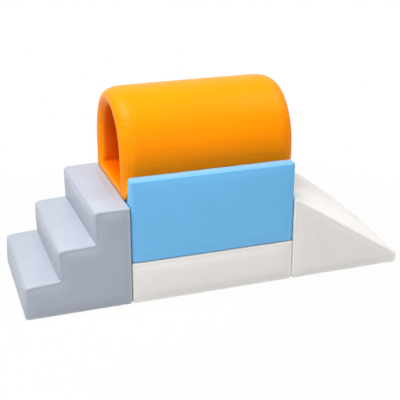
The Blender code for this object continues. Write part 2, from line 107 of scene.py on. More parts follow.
# Rounding and crown of the padded forms; each rounding of the tunnel's ends is (along, across)
EDGE_RADIUS = 0.017
BOTTOM_RADIUS = 0.014
WALL_NEAR_RADIUS = 0.013
BLOCK_SEAM_RADIUS = 0.005
STEPS_TOP_RADIUS = 0.009
NOSE_RADIUS = 0.022
RAMP_TOP_RADIUS = 0.009
TREAD_CORNER_RADIUS = 0.006
SEAT_CORNER_RADIUS = 0.008
LEAST_RADIUS = 0.0006
NEAR_END_ROUND = 0.007
BASE_NEAR_ROUND = 0.0055
END_ROUND = 0.013
TUNNEL_OUTER_ROUND = (0.072, 0.053)
TUNNEL_BORE_ROUND = (0.040, 0.042)
TUNNEL_FOOT_RADIUS = 0.014
FAR_FOOT_ROUND = 0.045
FLOOR_END_SHARE = 0.04
FLOOR_END_LOW = 0.010
FLOOR_END_HIGH = 0.090
FIRST_NOSE_SETBACK = 0.008
RISER_SKEWS = (0.010, 0.005, -0.005)
NOSE_SETBACKS = (0.002, 0.0, 0.003)
CROWN_POWER = 2.5
TREAD_CROWN = 0.005
RISER_CROWN = 0.006
FRONT_CROWN = 0.004
FRONT_CROWN_REACH = 0.045
WALL_TOP_CROWN = 0.003
SEAT_CROWN_REACH = 0.015
RAMP_FRONT_CROWN = 0.0015
RAMP_FRONT_REACH = 0.020
RAMP_CROWN = 0.0275
RAMP_SLOPE_CROWN = 0.033
CORE_INSET = 0.006

# How far the treads' front and back edges are lifted, at the near side and at the far side
NOSE_LIFTS = ((0.002, -0.009), (-0.002, -0.006), (0.0, 0.0))
BACK_LIFTS = ((0.012, 0.001), (0.006, 0.003), (0.001, 0.005))

# The cloth simulation that pads the covers
CLOTH_VOXEL = 0.009
CLOTH_SETTINGS = {
    "vertex_group_mass": "held",
    "use_pressure": True,
    "uniform_pressure_force": 4.0,
    "shrink_min": -0.005,
}
CLOTH_FRAMES = 20
CLOTH_EVENNESS = 24
HELD_SEAM_REACH = CLOTH_VOXEL * 0.8
HELD_FREEDOM = 0.2
STILL_REACH = 0.010
FREE_FROM = 0.004
FREE_AT = 0.030
FOLLOWED_POINTS = 4
SWELL_CAP = 0.0026
SINK_CAP = 0.0009
LEAST_MOVE = 1e-9

# Sewn seams
SEAM_PITCH = 0.002
TUNNEL_SEAM_SHARE = 0.42
GROOVE_DEPTH = 0.0007
GROOVE_WIDTH = 0.0015
# Width of the painted shade along each seam
PAINTED_SEAM_SHADE_WIDTH = GROOVE_WIDTH * 0.8
WELT_HEIGHT = 0.0006
WELT_OFFSET = 0.0042
WELT_WIDTH = 0.0022
GATHER_LENGTHS = (0.019, 0.031, 0.053)
GATHER_PHASES = (0, 6.3)
GATHER_HEIGHT = 0.00045
GATHER_REACH = 0.009
DENT_SPACINGS = (0.055, 0.120)
DENT_DEPTHS = (0.0008, 0.0020)
DENT_LENGTH = 0.006
DENT_REACH = 0.010
UNDERSIDE_SLACK = 0.0003
# Painted shade inside the tunnel's bore: how far it reaches past the bore, and its fade in from the ends
BORE_SHADE_MARGIN = 0.006
BORE_SHADE_FADE = (-0.002, 0.042)
# Painted shade on the top of the low wall: where it fades in below the top
WALL_TOP_SHADE_FADE = (-0.009, -0.001)

# Stitches: beside the seams, and the pitch, length and width of those in straight rows
STITCH_PITCH = 0.008
STITCH_LENGTH = 0.0045
STITCH_WIDTH = 0.0010
STITCH_OFFSET = 0.0055
STITCH_SIDES = 6
STITCH_BARREL = 0.22
STITCH_LIFT = 0.15
STITCH_SINK = 0.2
ZIP_ROW = (0.004, 0.0026, 0.0006)
STRIP_ROW = (0.0035, 0.0024, 0.0005)
HEM_ROW = (0.005, 0.0034, 0.0004)

# Strips and panels: each layer of a plate is its inset and its share of the thickness
PLATE_LEAST_RADIUS = 0.0004
STRIP_RADIUS = 0.006
STRIP_BORDER = 0.0035
STRIP_LAYERS = (
    (0.0006, 0.0), (0.0, 0.2), (0.0004, 0.5),
    (STRIP_BORDER, 0.5), (STRIP_BORDER + 0.0004, 0.9), (STRIP_BORDER + 0.0012, 1.0),
)
PANEL_RADIUS = 0.0117
PANEL_BORDER = 0.006
PANEL_LAYERS = (
    (0.0008, 1.0), (0.0, 0.6), (0.0006, 0.12), (PANEL_BORDER, 0.05),
    (PANEL_BORDER + 0.001, 0.20), (PANEL_BORDER + 0.012, 0.06), (PANEL_BORDER + 0.030, 0.05),
)
HEM_INSETS = (0.0022, 0.0045)
HEM_LIFT = 0.0001

# Zips
TAPE_WIDTH = 0.020
TAPE_RISE = 0.0003
TAPE_SUNK = 0.0010
TAPE_MARGIN = 0.006
TAPE_RADIUS = 0.004
TAPE_HEM = 0.0025
TAPE_LAYERS = ((0.0, 0.0), (0.0, 0.9), (0.0004, 1.0))
TOOTH_PITCH = 0.0022
TOOTH_LENGTH = 0.0031
TOOTH_SHIFT = 0.0009
TOOTH_TOP = 0.0011
TOOTH_RISE = TOOTH_TOP - TAPE_RISE
TOOTH_LAYERS = ((-0.0004, 1.0), (TOOTH_RISE * 0.7, 1.0), (TOOTH_RISE, 0.6))
TOOTH_OUTLINE = (
    (-1, -0.6), (-0.6, -1), (0.6, -1), (1, -0.6), (1, 0.6), (0.6, 1), (-0.6, 1), (-1, 0.6),
)
TOOTH_HALF_WIDTH = TOOTH_PITCH * 0.22
TEETH_MARGIN = 0.003
STOP_MARGIN = 0.0015
STOP_HALF_SIZES = (0.0011, 0.0024)

# Zip sliders
SLIDER_CLEARANCE = 0.0002
SLIDER_TOP = 0.0031
SLIDER_HALF_WIDTH = 0.0055
SLIDER_HALF_CHANNEL = 0.0028
SLIDER_SIDE = 0.0012
SLIDER_STEPS = 8
SLIDER_WAIST = 0.78
SLIDER_FLARE = 0.22
SLIDER_TAPER = 0.16
SLIDER_EDGE = 0.0006
SLIDER_SHOULDER = ((0.0009, 0.0), (0.0002, 0.0008), (0.0, 0.0018))
SLIDER_ENDS = ((0, 1, 2, 3, 10, 11), (3, 4, 9, 10), (4, 5, 6, 7, 8, 9))
BRIDGE_SUNK = 0.0004
BRIDGE_RISE = 0.0016
BRIDGE_LENGTH = 0.0068
BRIDGE_RADIUS = 0.0006
PULL_HALF_WIDTH = 0.003
PULL_HEIGHTS = (0.0001, 0.0013)
PULL_RADIUS = 0.0022
PULL_START = 0.0004
PULL_LAYERS = ((0.0003, 0.0), (0.0, 0.25), (0.0, 0.75), (0.0003, 1.0), (0.0010, 0.8), (0.0014, 0.8))
RIB_COUNT = 4
RIB_START = 0.0035
RIB_PITCH = 0.0028
RIB_LENGTH = 0.0034
RIB_RADIUS = 0.00045
RIB_HEIGHT = 0.00115

# How finely the pieces are divided
SHOWN_PITCH = 0.008
SIDE_PITCH = 0.012
HIDDEN_PITCH = 0.030
FINE_PITCH = 0.003
PITCH_GROWTH = 1.5
GRID_CLEARANCE = 0.6
MERGE_DISTANCE = 1e-7
JOIN_ANGLE = math.radians(40)
ARC_STEPS = 8
END_STEPS = 6
RIM_RINGS = (0.003, 0.008)
ARCH_FLOOR_LENGTH = 0.40
ARCH_SIDE_LENGTH = 0.08
ARCH_CURVE_LENGTH = 0.88
CORE_COARSENESS = 3.0

# Each lamp's place, what it points at, its width and its power in watts
LAMPS = {
    "key_light": ((-1.6, -0.4, 4.2), (0, 0, 0.3), 2.6, 204),
    "front_light": ((-0.9, -4.6, 2.2), (0, 0, 0.3), 2.6, 40),
    "right_light": ((2.3, -0.5, 3.5), (0.5, 0, 0.3), 2.0, 60),
    "left_light": ((-3.2, -0.9, 1.3), (-0.7, 0, 0.2), 1.4, 14),
}
FLOOR_HALF = 12.0
FLOOR_DROP = 0.0006
FLOOR_COLOUR = (0.60, 0.60, 0.60, 1.0)
FLOOR_FADE = (0.9, 1.7)
FLOOR_WHITENESS = 0.92


# Sums and lists that several forms use

def clamp(value):
    return min(max(value, 0), 1)


def smooth(share):
    return share * share * (3 - 2 * share)


def smooth_share(values, low, high):
    return smooth(np.clip((values - low) / (high - low), 0, 1))


def crown_weight(share):
    """1 at the middle of a face and 0 at its two edges."""
    return 1 - abs(2 * share - 1) ** CROWN_POWER


def pairs(items):
    """Each item with the one after it, and the last with the first."""
    return zip(items, items[1:] + items[:1])


def between(begin, end, count):
    """The places that divide a straight line into count parts."""
    return [begin.lerp(end, k / count) for k in range(1, count)]


def quarter_turn(steps):
    """Angles from 0 to a right angle."""
    return [math.pi / 2 * step / steps for step in range(steps + 1)]


def circle(middle, across, upwards, radius, sides):
    """Points round a circle."""
    points = []
    for side in range(sides):
        angle = 2 * math.pi * side / sides
        points.append(middle + (across * math.cos(angle) + upwards * math.sin(angle)) * radius)
    return points


def graded(start, end, fine, coarse):
    """Places between start and end, close together near both and coarse in between."""
    first_half = []
    step = fine
    place = start + step
    while place < (start + end) / 2 - step / 3:
        first_half.append(place)
        step = min(step * PITCH_GROWTH, coarse)
        place += step
    second_half = [start + end - place for place in reversed(first_half)]
    return first_half + [(start + end) / 2] + second_half


# Each corner of an outline is (u, w, radius, crown and pitch of the edge that follows it)

def edge_counts(corners, coarseness):
    """Into how many parts each edge of an outline is divided."""
    counts = []
    for corner, following in pairs(corners):
        length = math.dist(corner[:2], following[:2])
        counts.append(max(2, round(length / (corner[4] * coarseness))))
    return counts


def rounded_outline(corners, inset, weight, counts):
    """Points round a closed outline, counter-clockwise, and the index of each corner's middle."""
    places = [Vector(corner[:2]) for corner in corners]
    directions = [(after - place).normalized() for place, after in pairs(places)]
    outwards = [Vector((d.y, -d.x)) for d in directions]
    arcs = []
    for i, corner in enumerate(corners):
        before, after = outwards[i - 1], outwards[i]
        place = places[i] - (before + after) * (inset / (1 + before.dot(after)))
        turn = math.atan2(directions[i - 1].cross(directions[i]), directions[i - 1].dot(directions[i]))
        side = math.copysign(1, turn)
        radius = max(corner[2] - side * inset, LEAST_RADIUS)
        start = place - directions[i - 1] * (radius * math.tan(abs(turn) / 2))
        centre = start - before * (radius * side)
        spoke = start - centre
        turns = [turn * step / ARC_STEPS for step in range(ARC_STEPS + 1)]
        arcs.append([centre + Matrix.Rotation(angle, 2) @ spoke for angle in turns])
    points = []
    middles = []
    for i, (arc, following) in enumerate(pairs(arcs)):
        middles.append(len(points) + ARC_STEPS // 2)
        points.extend(arc)
        for k in range(1, counts[i]):
            share = k / counts[i]
            bulge = corners[i][3] * weight * crown_weight(share)
            points.append(arc[-1].lerp(following[0], share) + outwards[i] * bulge)
    return points, middles


def inside(places, outline):
    """Which of the places lie inside the outline, and how far each is from it."""
    start = np.array(outline)
    end = np.roll(start, -1, axis=0)
    along = end - start
    reach = places[:, None, :] - start[None]
    share = np.clip((reach * along).sum(2) / (along ** 2).sum(1), 0, 1)
    distance = np.linalg.norm(reach - share[..., None] * along, axis=2).min(1)
    straddles = (start[:, 1] > places[:, None, 1]) != (end[:, 1] > places[:, None, 1])
    rise = np.where(along[:, 1] == 0, 1, along[:, 1])
    crossing = start[:, 0] + (places[:, None, 1] - start[:, 1]) * along[:, 0] / rise
    hits = straddles & (places[:, None, 0] < crossing)
    return hits.sum(1) % 2 == 1, distance


def soft_distance(place, corners):
    """How far a place is from the sides of an outline, evened out where two sides meet."""
    least = 0.001
    total = 0
    for corner, following in pairs(corners):
        start, end = Vector(corner[:2]), Vector(following[:2])
        along = end - start
        share = clamp((place - start).dot(along) / along.length_squared)
        total += max((place - start - along * share).length, least) ** -3
    return total ** (-1 / 3)


class Net:
    """Points and faces of a mesh while it is being built."""

    def __init__(self):
        self.points = []
        self.faces = []

    def ring(self, places):
        first = len(self.points)
        self.points.extend(places)
        return list(range(first, len(self.points)))

    def skin(self, rings):
        """Join each ring to the next."""
        for ring, following in zip(rings, rings[1:]):
            for (a, b), (c, d) in zip(pairs(ring), pairs(following)):
                self.faces.append((a, b, d, c))

    def solid(self, rings):
        """Join each ring to the next and close the first and the last."""
        self.skin(rings)
        self.faces += [tuple(rings[0]), tuple(rings[-1])]

    def seam(self, ids, closed):
        """Points at an even spacing along the seam through some of the net's points."""
        places = np.array([tuple(self.points[i]) for i in ids])
        if closed:
            places = np.vstack([places, places[:1]])
        lengths = np.linalg.norm(np.diff(places, axis=0), axis=1)
        travelled = np.concatenate([[0], np.cumsum(lengths)])
        samples = np.arange(0, travelled[-1], SEAM_PITCH)
        return np.stack([np.interp(samples, travelled, places[:, k]) for k in range(3)], axis=1)

    def fill(self, ring, outline, pitch, place):
        """Close a ring with a net of triangles whose inner points lie on a square grid."""
        low = np.min(outline, axis=0)
        high = np.max(outline, axis=0)
        axes = [np.arange(low[k] + pitch / 2, high[k], pitch) for k in range(2)]
        grid = np.stack(np.meshgrid(*axes), axis=-1).reshape(-1, 2)
        kept, distance = inside(grid, outline)
        grid = grid[kept & (distance > pitch * GRID_CLEARANCE)]
        ids = ring + self.ring([place(u, w) for u, w in grid])
        flat = [Vector(point) for point in outline] + [Vector(point) for point in grid]
        loop = list(range(len(ring)))
        inner_only = 1
        found = delaunay_2d_cdt(flat, list(pairs(loop)), [loop], inner_only, MERGE_DISTANCE)
        for triangle in found[2]:
            self.faces.append(tuple(ids[found[3][corner][0]] for corner in triangle))

    def mesh(self, name):
        mesh = bpy.data.meshes.new(name)
        mesh.from_pydata([tuple(point) for point in self.points], [], self.faces)
        work = bmesh.new()
        work.from_mesh(mesh)
        bmesh.ops.recalc_face_normals(work, faces=work.faces)
        triangles = [face for face in work.faces if len(face.verts) == 3]
        bmesh.ops.join_triangles(
            work, faces=triangles, angle_face_threshold=JOIN_ANGLE, angle_shape_threshold=JOIN_ANGLE
        )
        work.to_mesh(mesh)
        work.free()
        mesh.shade_smooth()
        return mesh


# The covers' forms

def end_arc(radius, inset):
    """(distance from the end, inset) of the rings that round off one end of a form."""
    reach = radius - inset
    return [
        (inset + reach * (1 - math.cos(angle)), inset + reach * (1 - math.sin(angle)))
        for angle in quarter_turn(END_STEPS)
    ]


def loft(corners_at, length, place, rim_crown=0, rim_reach=FRONT_CROWN_REACH,
         near_round=NEAR_END_ROUND, inset=0, coarseness=1.0, corner_seams=()):
    """A padded form drawn out along one axis, and the paths of its seams.

    The near end face swells by rim_crown, which it reaches at rim_reach in from its edge.
    """
    pitch = SIDE_PITCH * coarseness
    counts = edge_counts(corners_at(0), coarseness)
    near_arc = end_arc(near_round, inset)
    far_arc = [(length - distance, drawn_in) for distance, drawn_in in reversed(end_arc(END_ROUND, inset))]
    middle = graded(near_arc[-1][0], far_arc[0][0], FINE_PITCH, pitch)
    stations = near_arc + [(distance, inset) for distance in middle] + far_arc
    for reach in RIM_RINGS:
        stations.insert(0, (inset, near_round + reach))
        stations.append((length - inset, END_ROUND + reach))
    net = Net()
    rings = []
    outlines = []
    for distance, drawn_in in stations:
        share = clamp(distance / length)
        outline, middles = rounded_outline(corners_at(share), drawn_in, crown_weight(share), counts)
        outlines.append(outline)
        rings.append(net.ring([place(u, w, distance) for u, w in outline]))
    net.skin(rings)

    def near_place(u, w):
        reach = soft_distance(Vector((u, w)), corners_at(0)) - near_round - RIM_RINGS[-1]
        rise = 1 - (1 - clamp(reach / rim_reach)) ** CROWN_POWER
        return place(u, w, inset - rim_crown * rise)

    net.fill(rings[0], outlines[0], pitch, near_place)
    net.fill(rings[-1], outlines[-1], pitch, lambda u, w: place(u, w, length - inset))
    rim = len(RIM_RINGS) + END_STEPS // 2
    seams = [net.seam(rings[k], True) for k in (rim, -1 - rim)]
    for corner in corner_seams:
        seams.append(net.seam([ring[middles[corner]] for ring in rings[rim:-rim]], False))
    return net, seams


def along_y(u, w, distance):
    return Vector((u, NEAR_Y + distance, w))


def along_block(u, w, distance):
    return Vector((BLOCK_LEFT + distance, u, w))


def steps_form(**options):
    """The steps, whose padded treads sink a little from their backs to their noses."""
    def corners_at(share):
        risers = []
        noses = []
        backs = []
        for step in range(STEP_COUNT):
            setback = NOSE_SETBACKS[step] * (1 - share)
            risers.append(STEPS_LEFT + step * STEP_TREAD + RISER_SKEWS[step] * share + setback)
            for heights, lifts in ((noses, NOSE_LIFTS), (backs, BACK_LIFTS)):
                near, far = lifts[step]
                heights.append((step + 1) * STEP_RISE + near * (1 - share) + far * share)
        corners = [
            (risers[0], PANEL_PROUD, BOTTOM_RADIUS, 0, HIDDEN_PITCH),
            (STEPS_RIGHT, PANEL_PROUD, BOTTOM_RADIUS, 0, HIDDEN_PITCH),
            (STEPS_RIGHT, backs[2], STEPS_TOP_RADIUS, TREAD_CROWN, SHOWN_PITCH),
        ]
        for step in (2, 1):
            corners.append((risers[step], noses[step], EDGE_RADIUS, RISER_CROWN, SHOWN_PITCH))
            corners.append((risers[step], backs[step - 1], TREAD_CORNER_RADIUS, TREAD_CROWN, SHOWN_PITCH))
        first_nose = risers[0] + FIRST_NOSE_SETBACK
        corners.append((first_nose, noses[0], EDGE_RADIUS, RISER_CROWN, SHOWN_PITCH))
        return corners
    return loft(corners_at, MODULE_DEPTH, along_y, FRONT_CROWN, corner_seams=(0, 1), **options)


def base_form(**options):
    """The low slab under the middle."""
    corners = [
        (BLOCK_LEFT, PANEL_PROUD, BOTTOM_RADIUS, 0, SIDE_PITCH),
        (BLOCK_RIGHT, PANEL_PROUD, BOTTOM_RADIUS, 0, HIDDEN_PITCH),
        (BLOCK_RIGHT, BASE_HEIGHT, BLOCK_SEAM_RADIUS, 0, SIDE_PITCH),
        (BLOCK_LEFT, BASE_HEIGHT, BLOCK_SEAM_RADIUS, 0, HIDDEN_PITCH),
    ]
    return loft(lambda _share: corners, MODULE_DEPTH, along_y, FRONT_CROWN,
                near_round=BASE_NEAR_ROUND, corner_seams=(0, 1, 2, 3), **options)


def ramp_form(**options):
    """The wedge, whose slope swells towards its middle."""
    def corners_at(share):
        weight = crown_weight(share)
        nose = RAMP_RIGHT + RAMP_NOSE_SKEW * share + RAMP_NOSE_CROWN * weight
        top = SEAT_TOP - RAMP_NEAR_SAG * (1 - share) + RAMP_CROWN * weight
        return [
            (RAMP_LEFT, PANEL_PROUD, BOTTOM_RADIUS, 0, HIDDEN_PITCH),
            (nose, PANEL_PROUD, BOTTOM_RADIUS, 0, SHOWN_PITCH),
            (nose, RAMP_NOSE_HEIGHT, NOSE_RADIUS, RAMP_SLOPE_CROWN, SHOWN_PITCH),
            (RAMP_LEFT, top, RAMP_TOP_RADIUS, 0, HIDDEN_PITCH),
        ]
    return loft(corners_at, MODULE_DEPTH, along_y, RAMP_FRONT_CROWN, RAMP_FRONT_REACH,
                corner_seams=(0, 1, 3), **options)


def seat_form(**options):
    """The block with the low wall along its near side."""
    bottom = SEAT_BOTTOM + PANEL_PROUD
    corners = [
        (NEAR_Y, bottom, BLOCK_SEAM_RADIUS, 0, HIDDEN_PITCH),
        (FAR_Y, bottom, BLOCK_SEAM_RADIUS, 0, SIDE_PITCH),
        (FAR_Y, SEAT_TOP, EDGE_RADIUS, 0, HIDDEN_PITCH),
        (WALL_INNER_Y, SEAT_TOP, SEAT_CORNER_RADIUS, 0, SIDE_PITCH),
        (WALL_INNER_Y - WALL_LEAN, WALL_TOP, EDGE_RADIUS, WALL_TOP_CROWN, SHOWN_PITCH),
        (NEAR_Y, WALL_TOP, WALL_NEAR_RADIUS, FRONT_CROWN, SHOWN_PITCH),
    ]
    return loft(lambda _share: corners, BLOCK_LENGTH, along_block, rim_reach=SEAT_CROWN_REACH,
                near_round=END_ROUND, corner_seams=(0, 1, 2, 4, 5), **options)


def arch_outline(side_inset, crown_inset, floor_inset, foot_radius, coarseness):
    """Points round the arch, from its near foot, along the floor and back over the top."""
    half_width = TUNNEL_HALF_WIDTH - side_inset
    floor = TUNNEL_BOTTOM + PANEL_PROUD + floor_inset
    floor_count = round(ARCH_FLOOR_LENGTH / (HIDDEN_PITCH * coarseness))
    side_count = round(ARCH_SIDE_LENGTH / (SIDE_PITCH * coarseness))
    arch_count = round(ARCH_CURVE_LENGTH / (SIDE_PITCH * coarseness))
    points = []
    feet = []
    for side, start in ((-1, math.pi), (1, 1.5 * math.pi)):
        if side > 0:
            floor_end = Vector((TUNNEL_MIDDLE_Y + half_width - foot_radius, floor))
            points += between(points[-1], floor_end, floor_count)
        centre = Vector((TUNNEL_MIDDLE_Y + side * (half_width - foot_radius), floor + foot_radius))
        feet.append(len(points) + ARC_STEPS // 2)
        for angle in quarter_turn(ARC_STEPS):
            spoke = Vector((math.cos(start + angle), math.sin(start + angle)))
            points.append(centre + foot_radius * spoke)
    spring = Vector((TUNNEL_MIDDLE_Y + half_width, TUNNEL_SPRING))
    points += between(points[-1], spring, side_count)
    for step in range(arch_count + 1):
        angle = math.pi * step / arch_count
        across = half_width * abs(math.cos(angle)) ** (2 / TUNNEL_FULLNESS)
        upwards = (TUNNEL_ARCH_RISE - crown_inset) * abs(math.sin(angle)) ** (2 / TUNNEL_FULLNESS)
        side_y = TUNNEL_MIDDLE_Y + math.copysign(across, math.pi / 2 - angle)
        points.append(Vector((side_y, TUNNEL_SPRING + upwards)))
    points += between(points[-1], points[0], side_count)
    return points, feet


def end_place(distance, y, height, inset, reach):
    """Where a point of the tunnel's end lies along X.

    The end's rounding is shallower round the floor, but for the far foot.
    """
    from_end = min(distance, TUNNEL_LENGTH - distance)
    if from_end > reach:
        return distance
    rise = clamp((height - TUNNEL_BOTTOM - FLOOR_END_LOW) / (FLOOR_END_HIGH - FLOOR_END_LOW))
    rise = max(rise, clamp((y - FAR_Y + FAR_FOOT_ROUND) / FAR_FOOT_ROUND))
    share = FLOOR_END_SHARE + (1 - FLOOR_END_SHARE) * smooth(rise)
    drawn_out = inset + (from_end - inset) * share
    return drawn_out if distance == from_end else TUNNEL_LENGTH - drawn_out


def tunnel_form(inset=0, coarseness=1.0):
    """The arched wall and floor of the tunnel, a net that closes on itself both ways.

    Each ring is (distance along X, share of the wall's thickness), 0 outside and 1 in the bore.
    """
    outer_reach, outer_depth = (size - inset for size in TUNNEL_OUTER_ROUND)
    bore_reach, bore_depth = (size - inset for size in TUNNEL_BORE_ROUND)
    thickness = TUNNEL_WALL - 2 * inset
    end = []
    for angle in quarter_turn(2 * END_STEPS):
        depth = outer_depth * (1 - math.cos(angle))
        end.append((inset + outer_reach * (1 - math.sin(angle)), depth / thickness))
    for angle in quarter_turn(END_STEPS):
        depth = thickness - bore_depth * (1 - math.sin(angle))
        end.append((inset + bore_reach * (1 - math.cos(angle)), depth / thickness))
    outer_start, inner_start = end[0][0], end[-1][0]
    outside = graded(outer_start, TUNNEL_LENGTH - outer_start, SIDE_PITCH, SIDE_PITCH * coarseness)
    bore = graded(inner_start, TUNNEL_LENGTH - inner_start, SIDE_PITCH, HIDDEN_PITCH * coarseness)
    loop = end[::-1]
    loop += [(distance, 0) for distance in outside]
    loop += [(TUNNEL_LENGTH - distance, share) for distance, share in end]
    loop += [(distance, 1) for distance in reversed(bore)]
    net = Net()
    rings = []
    for distance, share in loop:
        walls = (TUNNEL_WALL, TUNNEL_CROWN_WALL, TUNNEL_FLOOR)
        depths = [inset + share * (wall - 2 * inset) for wall in walls]
        foot = TUNNEL_FOOT_RADIUS - inset * (1 - 2 * share)
        outline, feet = arch_outline(*depths, foot, coarseness)
        ring = []
        for y, z in outline:
            ring.append(Vector((TUNNEL_LEFT + end_place(distance, y, z, inset, outer_start), y, z)))
        rings.append(net.ring(ring))
    net.skin(rings + rings[:1])
    left_end = len(end) - 1
    right_end = len(end) + len(outside)
    outer_seam = round(2 * END_STEPS * TUNNEL_SEAM_SHARE)
    inner_seam = 2 * END_STEPS + 1 + END_STEPS // 2
    seam_rings = (left_end - outer_seam, END_STEPS // 2, right_end + outer_seam, right_end + inner_seam)
    seams = [net.seam(rings[k], True) for k in seam_rings]
    for foot in feet:
        seams.append(net.seam([ring[foot] for ring in rings[left_end:right_end + 1]], False))
    return net, seams


# Materials

class Nodes:
    """A node tree and short calls to add nodes to it."""

    def __init__(self, tree):
        self.tree = tree

    def feed(self, node, inputs):
        """Give each input of a node its number or colour, or the output that drives it."""
        for key, value in inputs.items():
            if isinstance(value, bpy.types.NodeSocket):
                self.tree.links.new(value, node.inputs[key])
            else:
                node.inputs[key].default_value = value

    def add(self, kind, output, inputs, **settings):
        """One output of a new node."""
        node = self.tree.nodes.new(kind)
        for key, value in settings.items():
            setattr(node, key, value)
        self.feed(node, inputs)
        return node.outputs[output]

    def math(self, operation, first, second):
        return self.add("ShaderNodeMath", "Value", {0: first, 1: second}, operation=operation)

    def remap(self, value, low, high, from_low=0.0, from_high=1.0, **settings):
        inputs = {
            "Value": value, "From Min": from_low, "From Max": from_high, "To Min": low, "To Max": high,
        }
        return self.add("ShaderNodeMapRange", "Result", inputs, **settings)

    def whiten(self, output_node, surface, white, share=None):
        """Show white for a surface, by a share, where the camera or a reflection sees it."""
        rays = self.tree.nodes.new("ShaderNodeLightPath").outputs
        seen = rays["Is Camera Ray"]
        for kind in ("Is Glossy Ray", "Is Transmission Ray"):
            seen = self.math("MAXIMUM", seen, rays[kind])
        if share:
            seen = self.math("MULTIPLY", seen, share)
        mixed = self.add("ShaderNodeMixShader", "Shader", {"Fac": seen, 1: surface, 2: white})
        self.feed(self.tree.nodes[output_node], {"Surface": mixed})


class Shader(Nodes):
    """A material whose nodes take the object's own coordinates."""

    def __init__(self, name):
        self.material = bpy.data.materials.new(name)
        self.material.use_nodes = True
        super().__init__(self.material.node_tree)
        self.surface = self.tree.nodes["Principled BSDF"]
        self.here = self.add("ShaderNodeTexCoord", "Object", {})

    def look(self, colour, roughness, **others):
        """Feed the surface and return the finished material."""
        self.feed(self.surface, {"Base Color": colour, "Roughness": roughness, **others})
        return self.material

    def texture(self, kind, output, inputs, **settings):
        return self.add("ShaderNodeTex" + kind, output, {"Vector": self.here, **inputs}, **settings)

    def noise(self, scale, detail=2.0, roughness=0.5, stretch=None):
        inputs = {"Scale": scale, "Detail": detail, "Roughness": roughness}
        if stretch:
            stretched = {"Vector": self.here, "Scale": stretch}
            inputs["Vector"] = self.add("ShaderNodeMapping", "Vector", stretched)
        return self.texture("Noise", "Fac", inputs)

    def cells(self, scale):
        return self.texture("Voronoi", "Distance", {"Scale": scale}, feature="SMOOTH_F1")

    def waves(self, scale, direction):
        return self.texture("Wave", "Fac", {"Scale": scale}, bands_direction=direction)

    def crossed(self, scale, other_scale):
        """Bands along X and along Y, high where they cross."""
        return self.math("MULTIPLY", self.waves(scale, "X"), self.waves(other_scale, "Y"))

    def blend(self, first, first_weight, second, second_weight):
        """Two heights added up, each by its weight."""
        return self.math(
            "ADD", self.math("MULTIPLY", first, first_weight), self.math("MULTIPLY", second, second_weight)
        )

    def mix(self, share, first, second):
        inputs = {"Factor": share, "A": first, "B": second}
        return self.add("ShaderNodeMix", "Result", inputs, data_type="RGBA")

    def tones(self, share, colour, low, high):
        """Two shades of a colour, mixed by a share."""
        return self.mix(share, shade(colour, low), shade(colour, high))

    def attribute(self, name):
        return self.add("ShaderNodeAttribute", "Fac", {}, attribute_name=name)

    def bump(self, height, strength, distance, under=None):
        inputs = {"Height": height, "Strength": strength, "Distance": distance}
        if under:
            inputs["Normal"] = under
        normal = self.add("ShaderNodeBump", "Normal", inputs)
        self.feed(self.surface, {"Normal": normal})
        return normal


def linear(red, green, blue):
    """Scene colour of an sRGB colour given in 0 to 255."""
    values = []
    for channel in (red, green, blue):
        share = channel / 255
        values.append(share / 12.92 if share <= 0.04045 else ((share + 0.055) / 1.055) ** 2.4)
    return (*values, 1.0)


def shade(colour, factor):
    return (colour[0] * factor, colour[1] * factor, colour[2] * factor, 1.0)


def vinyl(name, colour, seam_shade_factor, ripple_height, ripple_scales=(9.0, 9.0, 9.0),
          roughness=0.46, gloss=0.36, welt_light_and_scuff_wear=1.14, painted_shade=None):
    """Soft coated vinyl: leather grain, slight mottling, painted shade in the seams and a painted
    highlight on the welts (painted shade where that factor is below 1).
    """
    shader = Shader(name)
    mottling = shader.noise(7.0, detail=3.0, roughness=0.6)
    share = shader.remap(mottling, 0.0, 1.0, from_low=0.35, from_high=0.65)
    base = shader.tones(share, colour, 0.985, 1.015)
    # Painted shade: the colour darkens along each seam by the seam shade factor
    base = shader.mix(shader.attribute("painted_seam_shade"), base, shade(colour, seam_shade_factor))
    # Painted highlight on the welts where the factor is above 1, painted shade where it is below 1, as on
    # the blue
    base = shader.mix(shader.attribute("welt"), base, shade(colour, welt_light_and_scuff_wear))
    # Painted shade over a masked region: the tunnel's bore and the low wall's top
    if painted_shade:
        attribute, painted_shade_colour = painted_shade
        base = shader.mix(shader.attribute(attribute), base, painted_shade_colour)
    ripples = shader.noise(1.0, detail=3.0, roughness=0.55, stretch=ripple_scales)
    rippled = shader.bump(ripples, strength=1.0, distance=ripple_height)
    grain = shader.blend(shader.cells(520.0), 0.8, shader.noise(900.0), 0.35)
    shader.bump(grain, strength=0.22, distance=0.0006, under=rippled)
    touched = shader.noise(16.0, detail=4.0, roughness=0.6)
    finish = shader.remap(touched, roughness - 0.05, roughness + 0.06, from_low=0.3, from_high=0.7)
    return shader.look(base, finish, **{"Specular IOR Level": gloss})


def woven(name, colour, thread_scale, roughness=0.85, tuft=0.0):
    """Narrow woven tape: crossed threads, and loose pile where tuft is above 0."""
    shader = Shader(name)
    weave = shader.crossed(thread_scale, thread_scale * 1.3)
    fuzz = shader.noise(thread_scale * 1.5, 4.0, 0.7)
    height = shader.blend(weave, 1 - tuft, fuzz, 0.4 + tuft)
    shader.bump(height, 0.6, 0.0005)
    tone = shader.remap(height, 0.0, 1.0, 0.2, 1.1)
    return shader.look(shader.tones(tone, colour, 0.7, 1.25), roughness, **{"Sheen Weight": 0.25})


def foam(name, colour):
    """Cut polyurethane foam: open cells of two sizes, with painted shade in the hollows of the cells."""
    shader = Shader(name)
    pores = shader.blend(shader.cells(260.0), 0.7, shader.cells(700.0), 0.3)
    shader.bump(pores, 0.7, 0.001)
    return shader.look(shader.tones(pores, colour, 0.8, 1.0), 0.95)


